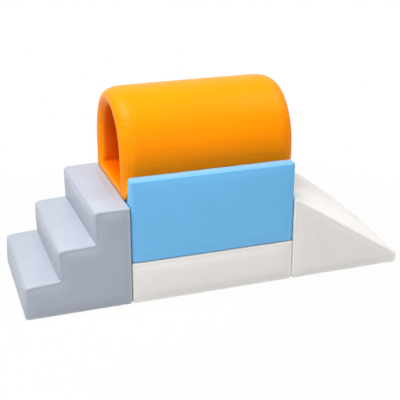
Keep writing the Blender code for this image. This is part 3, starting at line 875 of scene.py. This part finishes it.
def grip_fabric(name, colour):
    """Non-slip backing: woven cloth with rows of small rubber dots."""
    shader = Shader(name)
    dots = shader.remap(shader.crossed(18.0, 18.0), 0.0, 1.0, 0.55, 0.75)
    weave = shader.crossed(260.0, 260.0)
    cloth = shader.tones(weave, colour, 0.8, 1.5)
    height = shader.math("ADD", dots, shader.math("MULTIPLY", weave, 0.2))
    shader.bump(height, 0.7, 0.0012)
    return shader.look(shader.mix(dots, cloth, shade(colour, 2.2)), shader.remap(dots, 0.9, 0.55))


def moulded(name, colour, roughness=0.4):
    """Moulded nylon: faint flow marks and scuffs."""
    shader = Shader(name)
    scuffs = shader.noise(420.0, 4.0, 0.7)
    shader.bump(scuffs, 0.15, 0.0002)
    welt_light_and_scuff_wear = shader.remap(scuffs, roughness - 0.08, roughness + 0.15)
    return shader.look(shader.tones(scuffs, colour, 0.85, 1.3), welt_light_and_scuff_wear)


def thread(name, colour):
    """Twisted sewing thread."""
    shader = Shader(name)
    twist = shader.waves(1400.0, "DIAGONAL")
    shader.bump(twist, 0.4, 0.0002)
    return shader.look(shader.tones(twist, colour, 0.75, 1.1), 0.6)


GREY = linear(169, 175, 187)
WHITE = linear(236, 232, 227)
BLUE = linear(112, 189, 239)
ORANGE = (0.91, 0.256, 0.0, 1.0)
# Painted shade: a darker, redder orange for the inside of the tunnel's bore
BORE_SHADE = (0.76, 0.118, 0.0, 1.0)
# Painted shade: a duller blue for the top of the low wall
WALL_TOP_SHADE = (0.175, 0.395, 0.57, 1.0)
DARK = linear(66, 67, 70)

# The vinyls carry painted shade in their seams and a painted highlight on their welts; the blue's welts
# and wall top and the orange's bore carry painted shade
materials = {
    "grey_vinyl": vinyl("grey_vinyl_sewn", GREY, 0.78, 0.0035),
    "white_vinyl": vinyl("white_vinyl_sewn", WHITE, 0.80, 0.0020),
    "blue_vinyl": vinyl("blue_vinyl_sewn", BLUE, 0.74, 0.0025, welt_light_and_scuff_wear=0.95, painted_shade=("handled", WALL_TOP_SHADE)),
    "orange_vinyl": vinyl(
        "orange_vinyl_sewn", ORANGE, 0.74, 0.0016, (2.5, 70.0, 70.0),
        roughness=0.34, gloss=0.08, welt_light_and_scuff_wear=1.10, painted_shade=("painted_bore_shade", BORE_SHADE),
    ),
    "foam": foam("cut_foam", linear(240, 236, 222)),
    "underside_fabric": grip_fabric("dotted_backing", linear(70, 70, 74)),
    "zip_tape": woven("zip_tape_weave", DARK, 620.0),
    "zip": moulded("zip_nylon", linear(58, 59, 62)),
    "hook_tape": woven("hook_tape_pile", linear(76, 76, 80), 420.0, 0.8, 0.5),
    "loop_tape": woven("loop_tape_pile", linear(98, 98, 102), 300.0, 0.95, 0.8),
    "dark_thread": thread("dark_thread", DARK),
}


# Light, floor and camera

def placed(name, data):
    """A new object in the scene."""
    item = bpy.data.objects.new(name, data)
    bpy.context.scene.collection.objects.link(item)
    return item


def build_lamp(name, place, target, size, power):
    data = bpy.data.lights.new(name, "AREA")
    data.shape = "DISK"
    data.size = size
    data.energy = power
    lamp = placed(name, data)
    lamp.location = place
    direction = Vector(target) - lamp.location
    lamp.rotation_euler = direction.to_track_quat("-Z", "Y").to_euler()


def build_world():
    world = bpy.data.worlds.new("studio")
    world.use_nodes = True
    bpy.context.scene.world = world
    nodes = Nodes(world.node_tree)
    ambient = world.node_tree.nodes["Background"]
    nodes.feed(ambient, {"Color": (0.97, 0.98, 1.0, 1.0), "Strength": 0.28})
    white = nodes.add("ShaderNodeBackground", "Background", {"Color": (1, 1, 1, 1), "Strength": 1.0})
    nodes.whiten("World Output", ambient.outputs["Background"], white)


def build_floor():
    """A pale floor that keeps the shadow near the set and turns plain white further off."""
    mesh = bpy.data.meshes.new("floor")
    corners = [(-1, -1), (1, -1), (1, 1), (-1, 1)]
    mesh.from_pydata([(FLOOR_HALF * x, FLOOR_HALF * y, 0) for x, y in corners], [], [(0, 1, 2, 3)])
    floor = placed("floor", mesh)
    floor.location.z = -FLOOR_DROP
    shader = Shader("pale_floor")
    glow = shader.add("ShaderNodeEmission", "Emission", {"Strength": 1.0})
    distance = shader.add("ShaderNodeVectorMath", "Value", {0: shader.here}, operation="LENGTH")
    fading = shader.remap(distance, FLOOR_WHITENESS, 1.0, *FLOOR_FADE, interpolation_type="SMOOTHSTEP")
    shader.whiten("Material Output", shader.surface.outputs["BSDF"], glow, fading)
    mesh.materials.append(shader.look(FLOOR_COLOUR, 0.9, **{"Specular IOR Level": 0.0}))


def build_camera():
    """A camera at the photograph's place, angle and width of view."""
    yaw, pitch, roll = 0.3374, 0.3828, 0.0026
    place = (-1.2856, -3.6368, 1.8704)
    data = bpy.data.cameras.new("camera")
    data.sensor_width = 36.0
    data.lens = 80.4
    data.clip_end = 60.0
    camera = placed("camera", data)
    stance = Matrix.Translation(place)
    for angle, axis in ((-yaw, "Z"), (math.pi / 2 - pitch, "X"), (roll, "Z")):
        stance = stance @ Matrix.Rotation(angle, 4, axis)
    camera.matrix_world = stance
    bpy.context.scene.camera = camera


# Padding: a short cloth simulation blows the covers up a little

# Where modules meet: which they are, and the lowest and highest corner of the contact
WIDE = 2.0
CONTACTS = (
    (("base", "seat", "steps"), (STEPS_RIGHT, -WIDE, -WIDE), (BLOCK_LEFT, WIDE, SEAT_TOP)),
    (("base", "seat", "ramp"), (BLOCK_RIGHT, -WIDE, -WIDE), (RAMP_LEFT, WIDE, SEAT_TOP)),
    (("base",), (-WIDE, -WIDE, BASE_HEIGHT), (WIDE, WIDE, WIDE)),
    (("seat", "tunnel"), (-WIDE, WALL_INNER_Y, SEAT_TOP), (WIDE, WIDE, TUNNEL_BOTTOM)),
    (("seat", "tunnel"), (-WIDE, WALL_INNER_Y, SEAT_TOP), (WIDE, TUNNEL_NEAR_Y, WALL_TOP)),
    (("steps", "ramp"), (TUNNEL_LEFT, -WIDE, SEAT_TOP - STILL_REACH), (TUNNEL_RIGHT, WIDE, WIDE)),
)


def still_boxes(module):
    """Where a cover must keep its shape: its underside, its sides to other modules, its zip."""
    zip_low, zip_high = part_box(module + "_zip_chain")
    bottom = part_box(module + "_cover")[0][2]
    boxes = [
        ((zip_low[0], FAR_Y, zip_low[2]), (zip_high[0], WIDE, zip_high[2])),
        ((-WIDE, -WIDE, -WIDE), (WIDE, WIDE, bottom)),
    ]
    boxes += [(low, high) for modules, low, high in CONTACTS if module in modules]
    return [(np.array(low) - STILL_REACH, np.array(high) + STILL_REACH) for low, high in boxes]


def freedom(module, places):
    """0 where a cover touches its neighbours or carries its zip, and 1 a little way off."""
    share = np.ones(len(places))
    for low, high in still_boxes(module):
        outside = np.maximum(np.maximum(low - places, places - high), 0)
        distance = np.linalg.norm(outside, axis=1)
        share = np.minimum(share, smooth_share(distance, FREE_FROM, FREE_AT))
    return share


def vectors(items, key):
    """The places or normals of a mesh's points as one array."""
    values = np.empty(len(items) * 3)
    items.foreach_get(key, values)
    return values.reshape(-1, 3)


def vertex_places(mesh):
    return vectors(mesh.vertices, "co")


def move_vertices(mesh, places):
    mesh.vertices.foreach_set("co", places.ravel())
    mesh.update()


def evaluated_mesh(item):
    depsgraph = bpy.context.evaluated_depsgraph_get()
    return bpy.data.meshes.new_from_object(item.evaluated_get(depsgraph), depsgraph=depsgraph)


def nearest(samples, places, count=1):
    """Index of and distance to the nearest samples of each place."""
    tree = KDTree(len(samples))
    for i, sample in enumerate(samples):
        tree.insert(sample, i)
    tree.balance()
    found = [tree.find_n(place, count) for place in places]
    index = np.array([[hit[1] for hit in hits] for hits in found])
    distance = np.array([[hit[2] for hit in hits] for hits in found])
    return index, distance


def cloth_copy(module, mesh, seams):
    """A coarser copy of a cover, held at its seams and contacts, with the cloth solver on it."""
    item = placed(module + "_cloth", mesh)
    remesh = item.modifiers.new("Remesh", "REMESH")
    remesh.mode = "VOXEL"
    remesh.voxel_size = CLOTH_VOXEL
    coarse = evaluated_mesh(item)
    item.modifiers.clear()
    item.data = coarse
    places = vertex_places(coarse)
    _index, to_seam = nearest(np.vstack(seams), places)
    held = (to_seam[:, 0] < HELD_SEAM_REACH) | (freedom(module, places) < HELD_FREEDOM)
    group = item.vertex_groups.new(name="held")
    group.add([int(i) for i in np.flatnonzero(held)], 1.0, "REPLACE")
    cloth = item.modifiers.new("Cloth", "CLOTH")
    for key, value in CLOTH_SETTINGS.items():
        setattr(cloth.settings, key, value)
    cloth.settings.effector_weights.gravity = 0
    cloth.point_cache.frame_start = 1
    cloth.point_cache.frame_end = CLOTH_FRAMES
    return item, places


def swell(covers):
    """Rest places and movements of all the covers' coarse copies after one simulation."""
    copies = {}
    for module, (mesh, seams) in covers.items():
        copies[module] = cloth_copy(module, mesh, seams)
    scene = bpy.context.scene
    for moment in range(1, CLOTH_FRAMES + 1):
        scene.frame_set(moment)
    moved = {}
    for module, (item, places) in copies.items():
        movement = vertex_places(evaluated_mesh(item)) - places
        neighbours, _distance = nearest(places, places, CLOTH_EVENNESS)
        moved[module] = (places, movement[neighbours].mean(1))
        bpy.data.objects.remove(item, do_unlink=True)
    scene.frame_set(1)
    return moved


def pad(module, mesh, rest, movement):
    """Let a cover follow the movement of its coarse copy, within set limits."""
    places = vertex_places(mesh)
    index, distance = nearest(rest, places, FOLLOWED_POINTS)
    weight = 1 / (distance + CLOTH_VOXEL / 10) ** 2
    weight /= weight.sum(1, keepdims=True)
    moved = (movement[index] * weight[..., None]).sum(1)
    outwards = (moved * vectors(mesh.vertex_normals, "vector")).sum(1)
    cap = np.where(outwards > 0, SWELL_CAP, SINK_CAP)
    length = np.linalg.norm(moved, axis=1) + LEAST_MOVE
    share = cap * np.tanh(length / cap) / length * freedom(module, places)
    move_vertices(mesh, places + moved * share[:, None])


# Seams of the covers, and the masks for their painted shade and painted highlights

def seam_relief(distance, travelled, chance):
    """How far a cover stands out at a distance from a seam: groove, welt, gathers and dents."""
    relief = WELT_HEIGHT * np.exp(-((distance - WELT_OFFSET) / WELT_WIDTH) ** 2)
    relief -= GROOVE_DEPTH * np.exp(-(distance / GROOVE_WIDTH) ** 2)
    gathers = np.zeros(len(travelled))
    for length in GATHER_LENGTHS:
        phase = chance.uniform(*GATHER_PHASES)
        gathers += np.sin(travelled * 2 * math.pi / length + phase) / len(GATHER_LENGTHS)
    relief += GATHER_HEIGHT * gathers * np.exp(-distance / GATHER_REACH)
    place = chance.uniform(0, DENT_SPACINGS[1])
    while place < travelled.max():
        depth = chance.uniform(*DENT_DEPTHS)
        along = np.exp(-((travelled - place) / DENT_LENGTH) ** 2)
        relief -= depth * along * np.exp(-(distance / DENT_REACH) ** 2)
        place += chance.uniform(*DENT_SPACINGS)
    return relief


def write_attribute(mesh, name, values):
    layer = mesh.attributes.new(name, "FLOAT", "POINT")
    layer.data.foreach_set("value", np.ascontiguousarray(values, dtype=np.float32))


def sew(mesh, seams, floor, chance):
    """Press the seams into a cover and mark, for the material, the painted shade along them and the
    painted highlight on its welts.
    """
    samples = np.vstack(seams)
    travelled = np.arange(len(samples)) * SEAM_PITCH
    places = vertex_places(mesh)
    index, distance = nearest(samples, places)
    distance = distance[:, 0]
    relief = seam_relief(distance, travelled[index[:, 0]], chance)
    places += vectors(mesh.vertex_normals, "vector") * relief[:, None]
    places[:, 2] = np.maximum(places[:, 2], floor)
    move_vertices(mesh, places)
    # Masks for the material: painted shade along the seams and a painted highlight on the welts
    write_attribute(mesh, "painted_seam_shade", np.exp(-(distance / PAINTED_SEAM_SHADE_WIDTH) ** 2))
    write_attribute(mesh, "welt", np.exp(-((distance - WELT_OFFSET) / WELT_WIDTH) ** 2))


def mark_painted_bore_shade(mesh):
    """Mark the inside of the tunnel, away from its two ends, for the material's painted shade in the bore.
    """
    places = vertex_places(mesh)
    half_width = TUNNEL_HALF_WIDTH - TUNNEL_WALL + BORE_SHADE_MARGIN
    rise = TUNNEL_ARCH_RISE - TUNNEL_CROWN_WALL + BORE_SHADE_MARGIN
    across = np.abs(places[:, 1] - TUNNEL_MIDDLE_Y) / half_width
    upwards = np.maximum(places[:, 2] - TUNNEL_SPRING, 0) / rise
    within = across ** TUNNEL_FULLNESS + upwards ** TUNNEL_FULLNESS < 1
    above_floor = places[:, 2] > TUNNEL_BOTTOM + TUNNEL_FLOOR / 2
    from_end = np.minimum(places[:, 0] - TUNNEL_LEFT, TUNNEL_RIGHT - places[:, 0])
    write_attribute(mesh, "painted_bore_shade", within * above_floor * smooth_share(from_end, *BORE_SHADE_FADE))


def mark_handled(mesh):
    """Mark the top of the low wall for the material's painted shade, which makes it a little duller than
    the wall's face.
    """
    above_top = vertex_places(mesh)[:, 2] - WALL_TOP
    write_attribute(mesh, "handled", smooth_share(above_top, *WALL_TOP_SHADE_FADE))


def subdivided(mesh, name):
    """A finer copy of a mesh, one round of subdivision smoother."""
    item = placed(name, mesh)
    item.modifiers.new("Smoothing", "SUBSURF").levels = 1
    finer = evaluated_mesh(item)
    bpy.data.objects.remove(item, do_unlink=True)
    finer.name = name
    return finer


# Small pieces built from rings of points

def stitch(net, place, along, outwards, length=STITCH_LENGTH, width=STITCH_WIDTH):
    """One visible thread of a seam: a small barrel that sinks into the cover at both ends."""
    across = along.cross(outwards).normalized()
    rings = []
    for side in (-1, 1):
        middle = place + along * (length * side * STITCH_BARREL) + outwards * (width * STITCH_LIFT)
        rings.append(net.ring(circle(middle, across, outwards, width / 2, STITCH_SIDES)))
    net.skin(rings)
    for ring, side in zip(rings, (-1, 1)):
        tip = net.ring([place + along * (length / 2 * side) - outwards * (width * STITCH_SINK)])[0]
        net.faces += [(point, following, tip) for point, following in pairs(ring)]


def seam_stitches(mesh, seams, name):
    """Stitches beside every seam of a cover, lying on its surface."""
    surface = BVHTree.FromPolygons(
        [vertex.co for vertex in mesh.vertices], [polygon.vertices for polygon in mesh.polygons]
    )
    net = Net()
    every = round(STITCH_PITCH / SEAM_PITCH)
    for samples in seams:
        for i in range(1, len(samples) - 1, every):
            along = Vector(samples[i + 1] - samples[i - 1]).normalized()
            _place, outwards, _face, _distance = surface.find_nearest(Vector(samples[i]))
            aside = Vector(samples[i]) + along.cross(outwards).normalized() * STITCH_OFFSET
            place, outwards, _face, _distance = surface.find_nearest(aside)
            stitch(net, place, along, outwards)
    return net.mesh(name)


def plate_ring(low, high, thin, level, radius, inset, steps=4):
    """Points round a rounded rectangle across the thin axis."""
    u, v = [axis for axis in range(3) if axis != thin]
    reach = max(radius - inset, PLATE_LEAST_RADIUS)
    points = []
    u_ends = (high[u] - inset - reach, low[u] + inset + reach)
    v_ends = (high[v] - inset - reach, low[v] + inset + reach)
    for quarter, (u_end, v_end) in enumerate(((0, 0), (1, 0), (1, 1), (0, 1))):
        for step in range(steps + 1):
            angle = math.pi / 2 * (quarter + step / steps)
            point = [level] * 3
            point[u] = u_ends[u_end] + reach * math.cos(angle)
            point[v] = v_ends[v_end] + reach * math.sin(angle)
            points.append(Vector(point))
    return points


def layered_plate(net, low, high, thin, radius, layers):
    """A plate built up of rounded rectangles, each (inset, share of the thickness)."""
    rings = []
    for inset, share in layers:
        level = low[thin] + (high[thin] - low[thin]) * share
        rings.append(net.ring(plate_ring(low, high, thin, level, radius, inset)))
    net.solid(rings)


def tube(net, path, radius, sides=8):
    """A round tube along a path, closed at both ends."""
    rings = []
    for i, place in enumerate(path):
        along = (path[min(i + 1, len(path) - 1)] - path[max(i - 1, 0)]).normalized()
        across = along.orthogonal() if i == 0 else across - along * across.dot(along)
        across.normalize()
        rings.append(net.ring(circle(place, across, along.cross(across), radius, sides)))
    net.solid(rings)


def sewn_plate(names, plate, rows, outwards, sizes):
    """The meshes of a plate and of the straight rows of stitches on it."""
    pitch, length, width = sizes
    net = Net()
    layered_plate(net, *plate)
    stitches = Net()
    for start, end in rows:
        start, end = Vector(start), Vector(end)
        along = (end - start).normalized()
        count = int((end - start).length / pitch)
        for k in range(count):
            stitch(stitches, start.lerp(end, (k + 0.5) / count), along, outwards, length, width)
    return net.mesh(names[0]), stitches.mesh(names[1])


def strip_piece(node):
    """A hook or loop strip: a sewn-down border round a raised field of pile."""
    low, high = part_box(node)
    thin = min(range(3), key=lambda axis: high[axis] - low[axis])
    on_right = node.startswith("steps") or "_right" in node and node.startswith(("seat", "base"))
    side = 1 if on_right or "_top_" in node else -1
    layers = STRIP_LAYERS if side > 0 else [(inset, 1 - share) for inset, share in STRIP_LAYERS]
    outwards = Vector((0, 0, 0))
    outwards[thin] = side
    level = (low[thin] + high[thin]) / 2
    rows = pairs(plate_ring(low, high, thin, level, STRIP_RADIUS, STRIP_BORDER / 2, 1))
    plate = (low, high, thin, STRIP_RADIUS, layers)
    return sewn_plate((node + "_tape", node + "_stitches"), plate, rows, outwards, STRIP_ROW)


def panel_piece(module):
    """The panel sewn under a module, with a turned hem and a double row of stitches."""
    low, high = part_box(module + "_underside_panel")
    rows = []
    for inset in HEM_INSETS:
        rows += pairs(plate_ring(low, high, 2, low[2] + HEM_LIFT, PANEL_RADIUS, inset, 2))
    names = (module + "_dotted_panel", module + "_panel_stitches")
    plate = (low, high, 2, PANEL_RADIUS, PANEL_LAYERS)
    return sewn_plate(names, plate, rows, Vector((0, 0, 1)), HEM_ROW)


def zip_line(module):
    """Left end, right end and height of a zip."""
    low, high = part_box(module + "_zip_chain")
    return low[0], high[0], (low[2] + high[2]) / 2


def zip_tape_piece(module):
    """The tape of a zip, sewn on flat."""
    left, right, height = zip_line(module)
    low = (left - TAPE_MARGIN, FAR_Y - TAPE_SUNK, height - TAPE_WIDTH / 2)
    high = (right + TAPE_MARGIN, FAR_Y + TAPE_RISE, height + TAPE_WIDTH / 2)
    rows = []
    for side in (-1, 1):
        place = (FAR_Y + TAPE_RISE, height + side * (TAPE_WIDTH / 2 - TAPE_HEM))
        rows.append(((left, *place), (right, *place)))
    names = (module + "_zip_tape", module + "_zip_stitches")
    plate = (low, high, 1, TAPE_RADIUS, TAPE_LAYERS)
    return sewn_plate(names, plate, rows, Vector((0, 1, 0)), ZIP_ROW)


def tooth(net, x, z, half_x, half_z):
    rings = []
    for level, share in TOOTH_LAYERS:
        y = FAR_Y + TAPE_RISE + level
        ring = [Vector((x + a * half_x * share, y, z + b * half_z * share)) for a, b in TOOTH_OUTLINE]
        rings.append(net.ring(ring))
    net.solid(rings)


def zip_teeth_piece(module):
    """Two rows of moulded teeth that mesh with each other, with a stop at each end."""
    left, right, height = zip_line(module)
    net = Net()
    count = int((right - left - 2 * TEETH_MARGIN) / TOOTH_PITCH)
    for k in range(2 * count):
        x = left + TEETH_MARGIN + (k + 0.5) * TOOTH_PITCH / 2
        side = 1 if k % 2 else -1
        tooth(net, x, height + side * TOOTH_SHIFT, TOOTH_HALF_WIDTH, TOOTH_LENGTH / 2)
    for x in (left + STOP_MARGIN, right - STOP_MARGIN):
        tooth(net, x, height, *STOP_HALF_SIZES)
    return net.mesh(module + "_zip_teeth")


def slider_section(waist, edge):
    """Outline across a slider: its two flanks, its roof and the channel for the teeth."""
    base = FAR_Y + TAPE_RISE + SLIDER_CLEARANCE
    channel = FAR_Y + TOOTH_TOP + SLIDER_CLEARANCE
    roof = FAR_Y + SLIDER_TOP - edge
    half = SLIDER_HALF_WIDTH * waist - edge
    inner = min(SLIDER_HALF_CHANNEL, half - SLIDER_SIDE)
    flank = [(base, half)] + [(roof - drop, half - drawn_in) for drop, drawn_in in SLIDER_SHOULDER]
    section = [(y, -z) for y, z in flank] + flank[::-1]
    return section + [(base, inner), (channel, inner), (channel, -inner), (base, -inner)]


def zip_slider_piece(module):
    """A slider with a waisted, rounded back over the teeth, its bridge, and a ribbed pull."""
    low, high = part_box(module + "_zip_slider")
    _left, _right, height = zip_line(module)
    middle = (low[0] + high[0]) / 2
    top = FAR_Y + SLIDER_TOP
    net = Net()
    rings = []
    for step in range(SLIDER_STEPS + 1):
        share = step / SLIDER_STEPS
        waist = SLIDER_WAIST + SLIDER_FLARE * abs(2 * share - 1) ** 1.5 - SLIDER_TAPER * share
        section = slider_section(waist, SLIDER_EDGE if step in (0, SLIDER_STEPS) else 0.0)
        x = low[0] + (high[0] - low[0]) * share
        rings.append(net.ring([Vector((x, y, height + z)) for y, z in section]))
    net.skin(rings)
    for ring in (rings[0], rings[-1]):
        net.faces += [tuple(ring[i] for i in corners) for corners in SLIDER_ENDS]
    bridge = []
    for step in range(SLIDER_STEPS + 1):
        share = step / SLIDER_STEPS
        y = top - BRIDGE_SUNK + BRIDGE_RISE * math.sin(math.pi * share)
        bridge.append(Vector((middle, y, height + BRIDGE_LENGTH * (share - 0.5))))
    tube(net, bridge, BRIDGE_RADIUS)
    pull_low = (middle - PULL_HALF_WIDTH, top + PULL_HEIGHTS[0], low[2])
    pull_high = (middle + PULL_HALF_WIDTH, top + PULL_HEIGHTS[1], height - PULL_START)
    layered_plate(net, pull_low, pull_high, 1, PULL_RADIUS, PULL_LAYERS)
    for k in range(RIB_COUNT):
        z = low[2] + RIB_START + RIB_PITCH * k
        places = [middle + RIB_LENGTH * (i / 3 - 0.5) for i in range(4)]
        tube(net, [Vector((x, top + RIB_HEIGHT, z)) for x in places], RIB_RADIUS)
    return net.mesh(module + "_slider_and_pull")


# Put the modules together

def dress(mesh, material, body, slot, *nodes):
    """A piece named after its mesh, on a body, in place of the CAD nodes it is given."""
    item = placed(mesh.name, mesh)
    mesh.materials.append(materials[material])
    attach(item, body)
    if nodes:
        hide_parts(*nodes)
    return item


def dress_sewn(meshes, material, body, slot, node):
    """A sewn plate and its stitches."""
    dress(meshes[0], material, body, slot, node)
    dress(meshes[1], "dark_thread", body, slot)


MODULES = {
    "steps": (steps_form, "grey_vinyl", GREY),
    "base": (base_form, "white_vinyl", WHITE),
    "seat": (seat_form, "blue_vinyl", BLUE),
    "tunnel": (tunnel_form, "orange_vinyl", ORANGE),
    "ramp": (ramp_form, "white_vinyl", WHITE),
}

# Masks for painted shade: the tunnel's bore and the low wall's top
PAINTED_SHADE_MASKS = {"tunnel": mark_painted_bore_shade, "seat": mark_handled}

build_world()
build_floor()
build_camera()
for name, settings in LAMPS.items():
    build_lamp(name, *settings)
bpy.context.scene.view_settings.view_transform = "Standard"

covers = {}
for module, (form, _slot, _colour) in MODULES.items():
    net, seams = form()
    covers[module] = (net.mesh(module + "_rest"), seams)
moved = swell(covers)

chance = random.Random(7)
for module, (form, slot, colour) in MODULES.items():
    mesh, seams = covers[module]
    mesh = subdivided(mesh, module + "_padded_cover")
    if module in moved:
        pad(module, mesh, *moved[module])
    sew(mesh, seams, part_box(module + "_cover")[0][2] - UNDERSIDE_SLACK, chance)
    if module in PAINTED_SHADE_MASKS:
        PAINTED_SHADE_MASKS[module](mesh)
    cover = dress(mesh, slot, module, slot, module + "_cover")
    own_thread = module + "_thread"
    materials[own_thread] = thread(own_thread, shade(colour, 0.9))
    dress(seam_stitches(mesh, seams, module + "_stitches"), own_thread, module, slot)
    core_net, _seams = form(inset=CORE_INSET, coarseness=CORE_COARSENESS)
    dress(core_net.mesh(module + "_foam_core"), "foam", module, "foam", module + "_core")

    fabric = "underside_fabric"
    dress_sewn(panel_piece(module), fabric, module, fabric, module + "_underside_panel")
    chain = module + "_zip_chain"
    dress_sewn(zip_tape_piece(module), "zip_tape", module, "zip", chain)
    dress(zip_teeth_piece(module), "zip", module, "zip", chain)
    dress(zip_slider_piece(module), "zip", module + "_slider", "zip", module + "_zip_slider")
    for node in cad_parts:
        if node.startswith(module + "_") and "_strip_" in node:
            tape = "hook_tape" if "_hook_" in node else "loop_tape"
            dress_sewn(strip_piece(node), tape, module, tape, node)
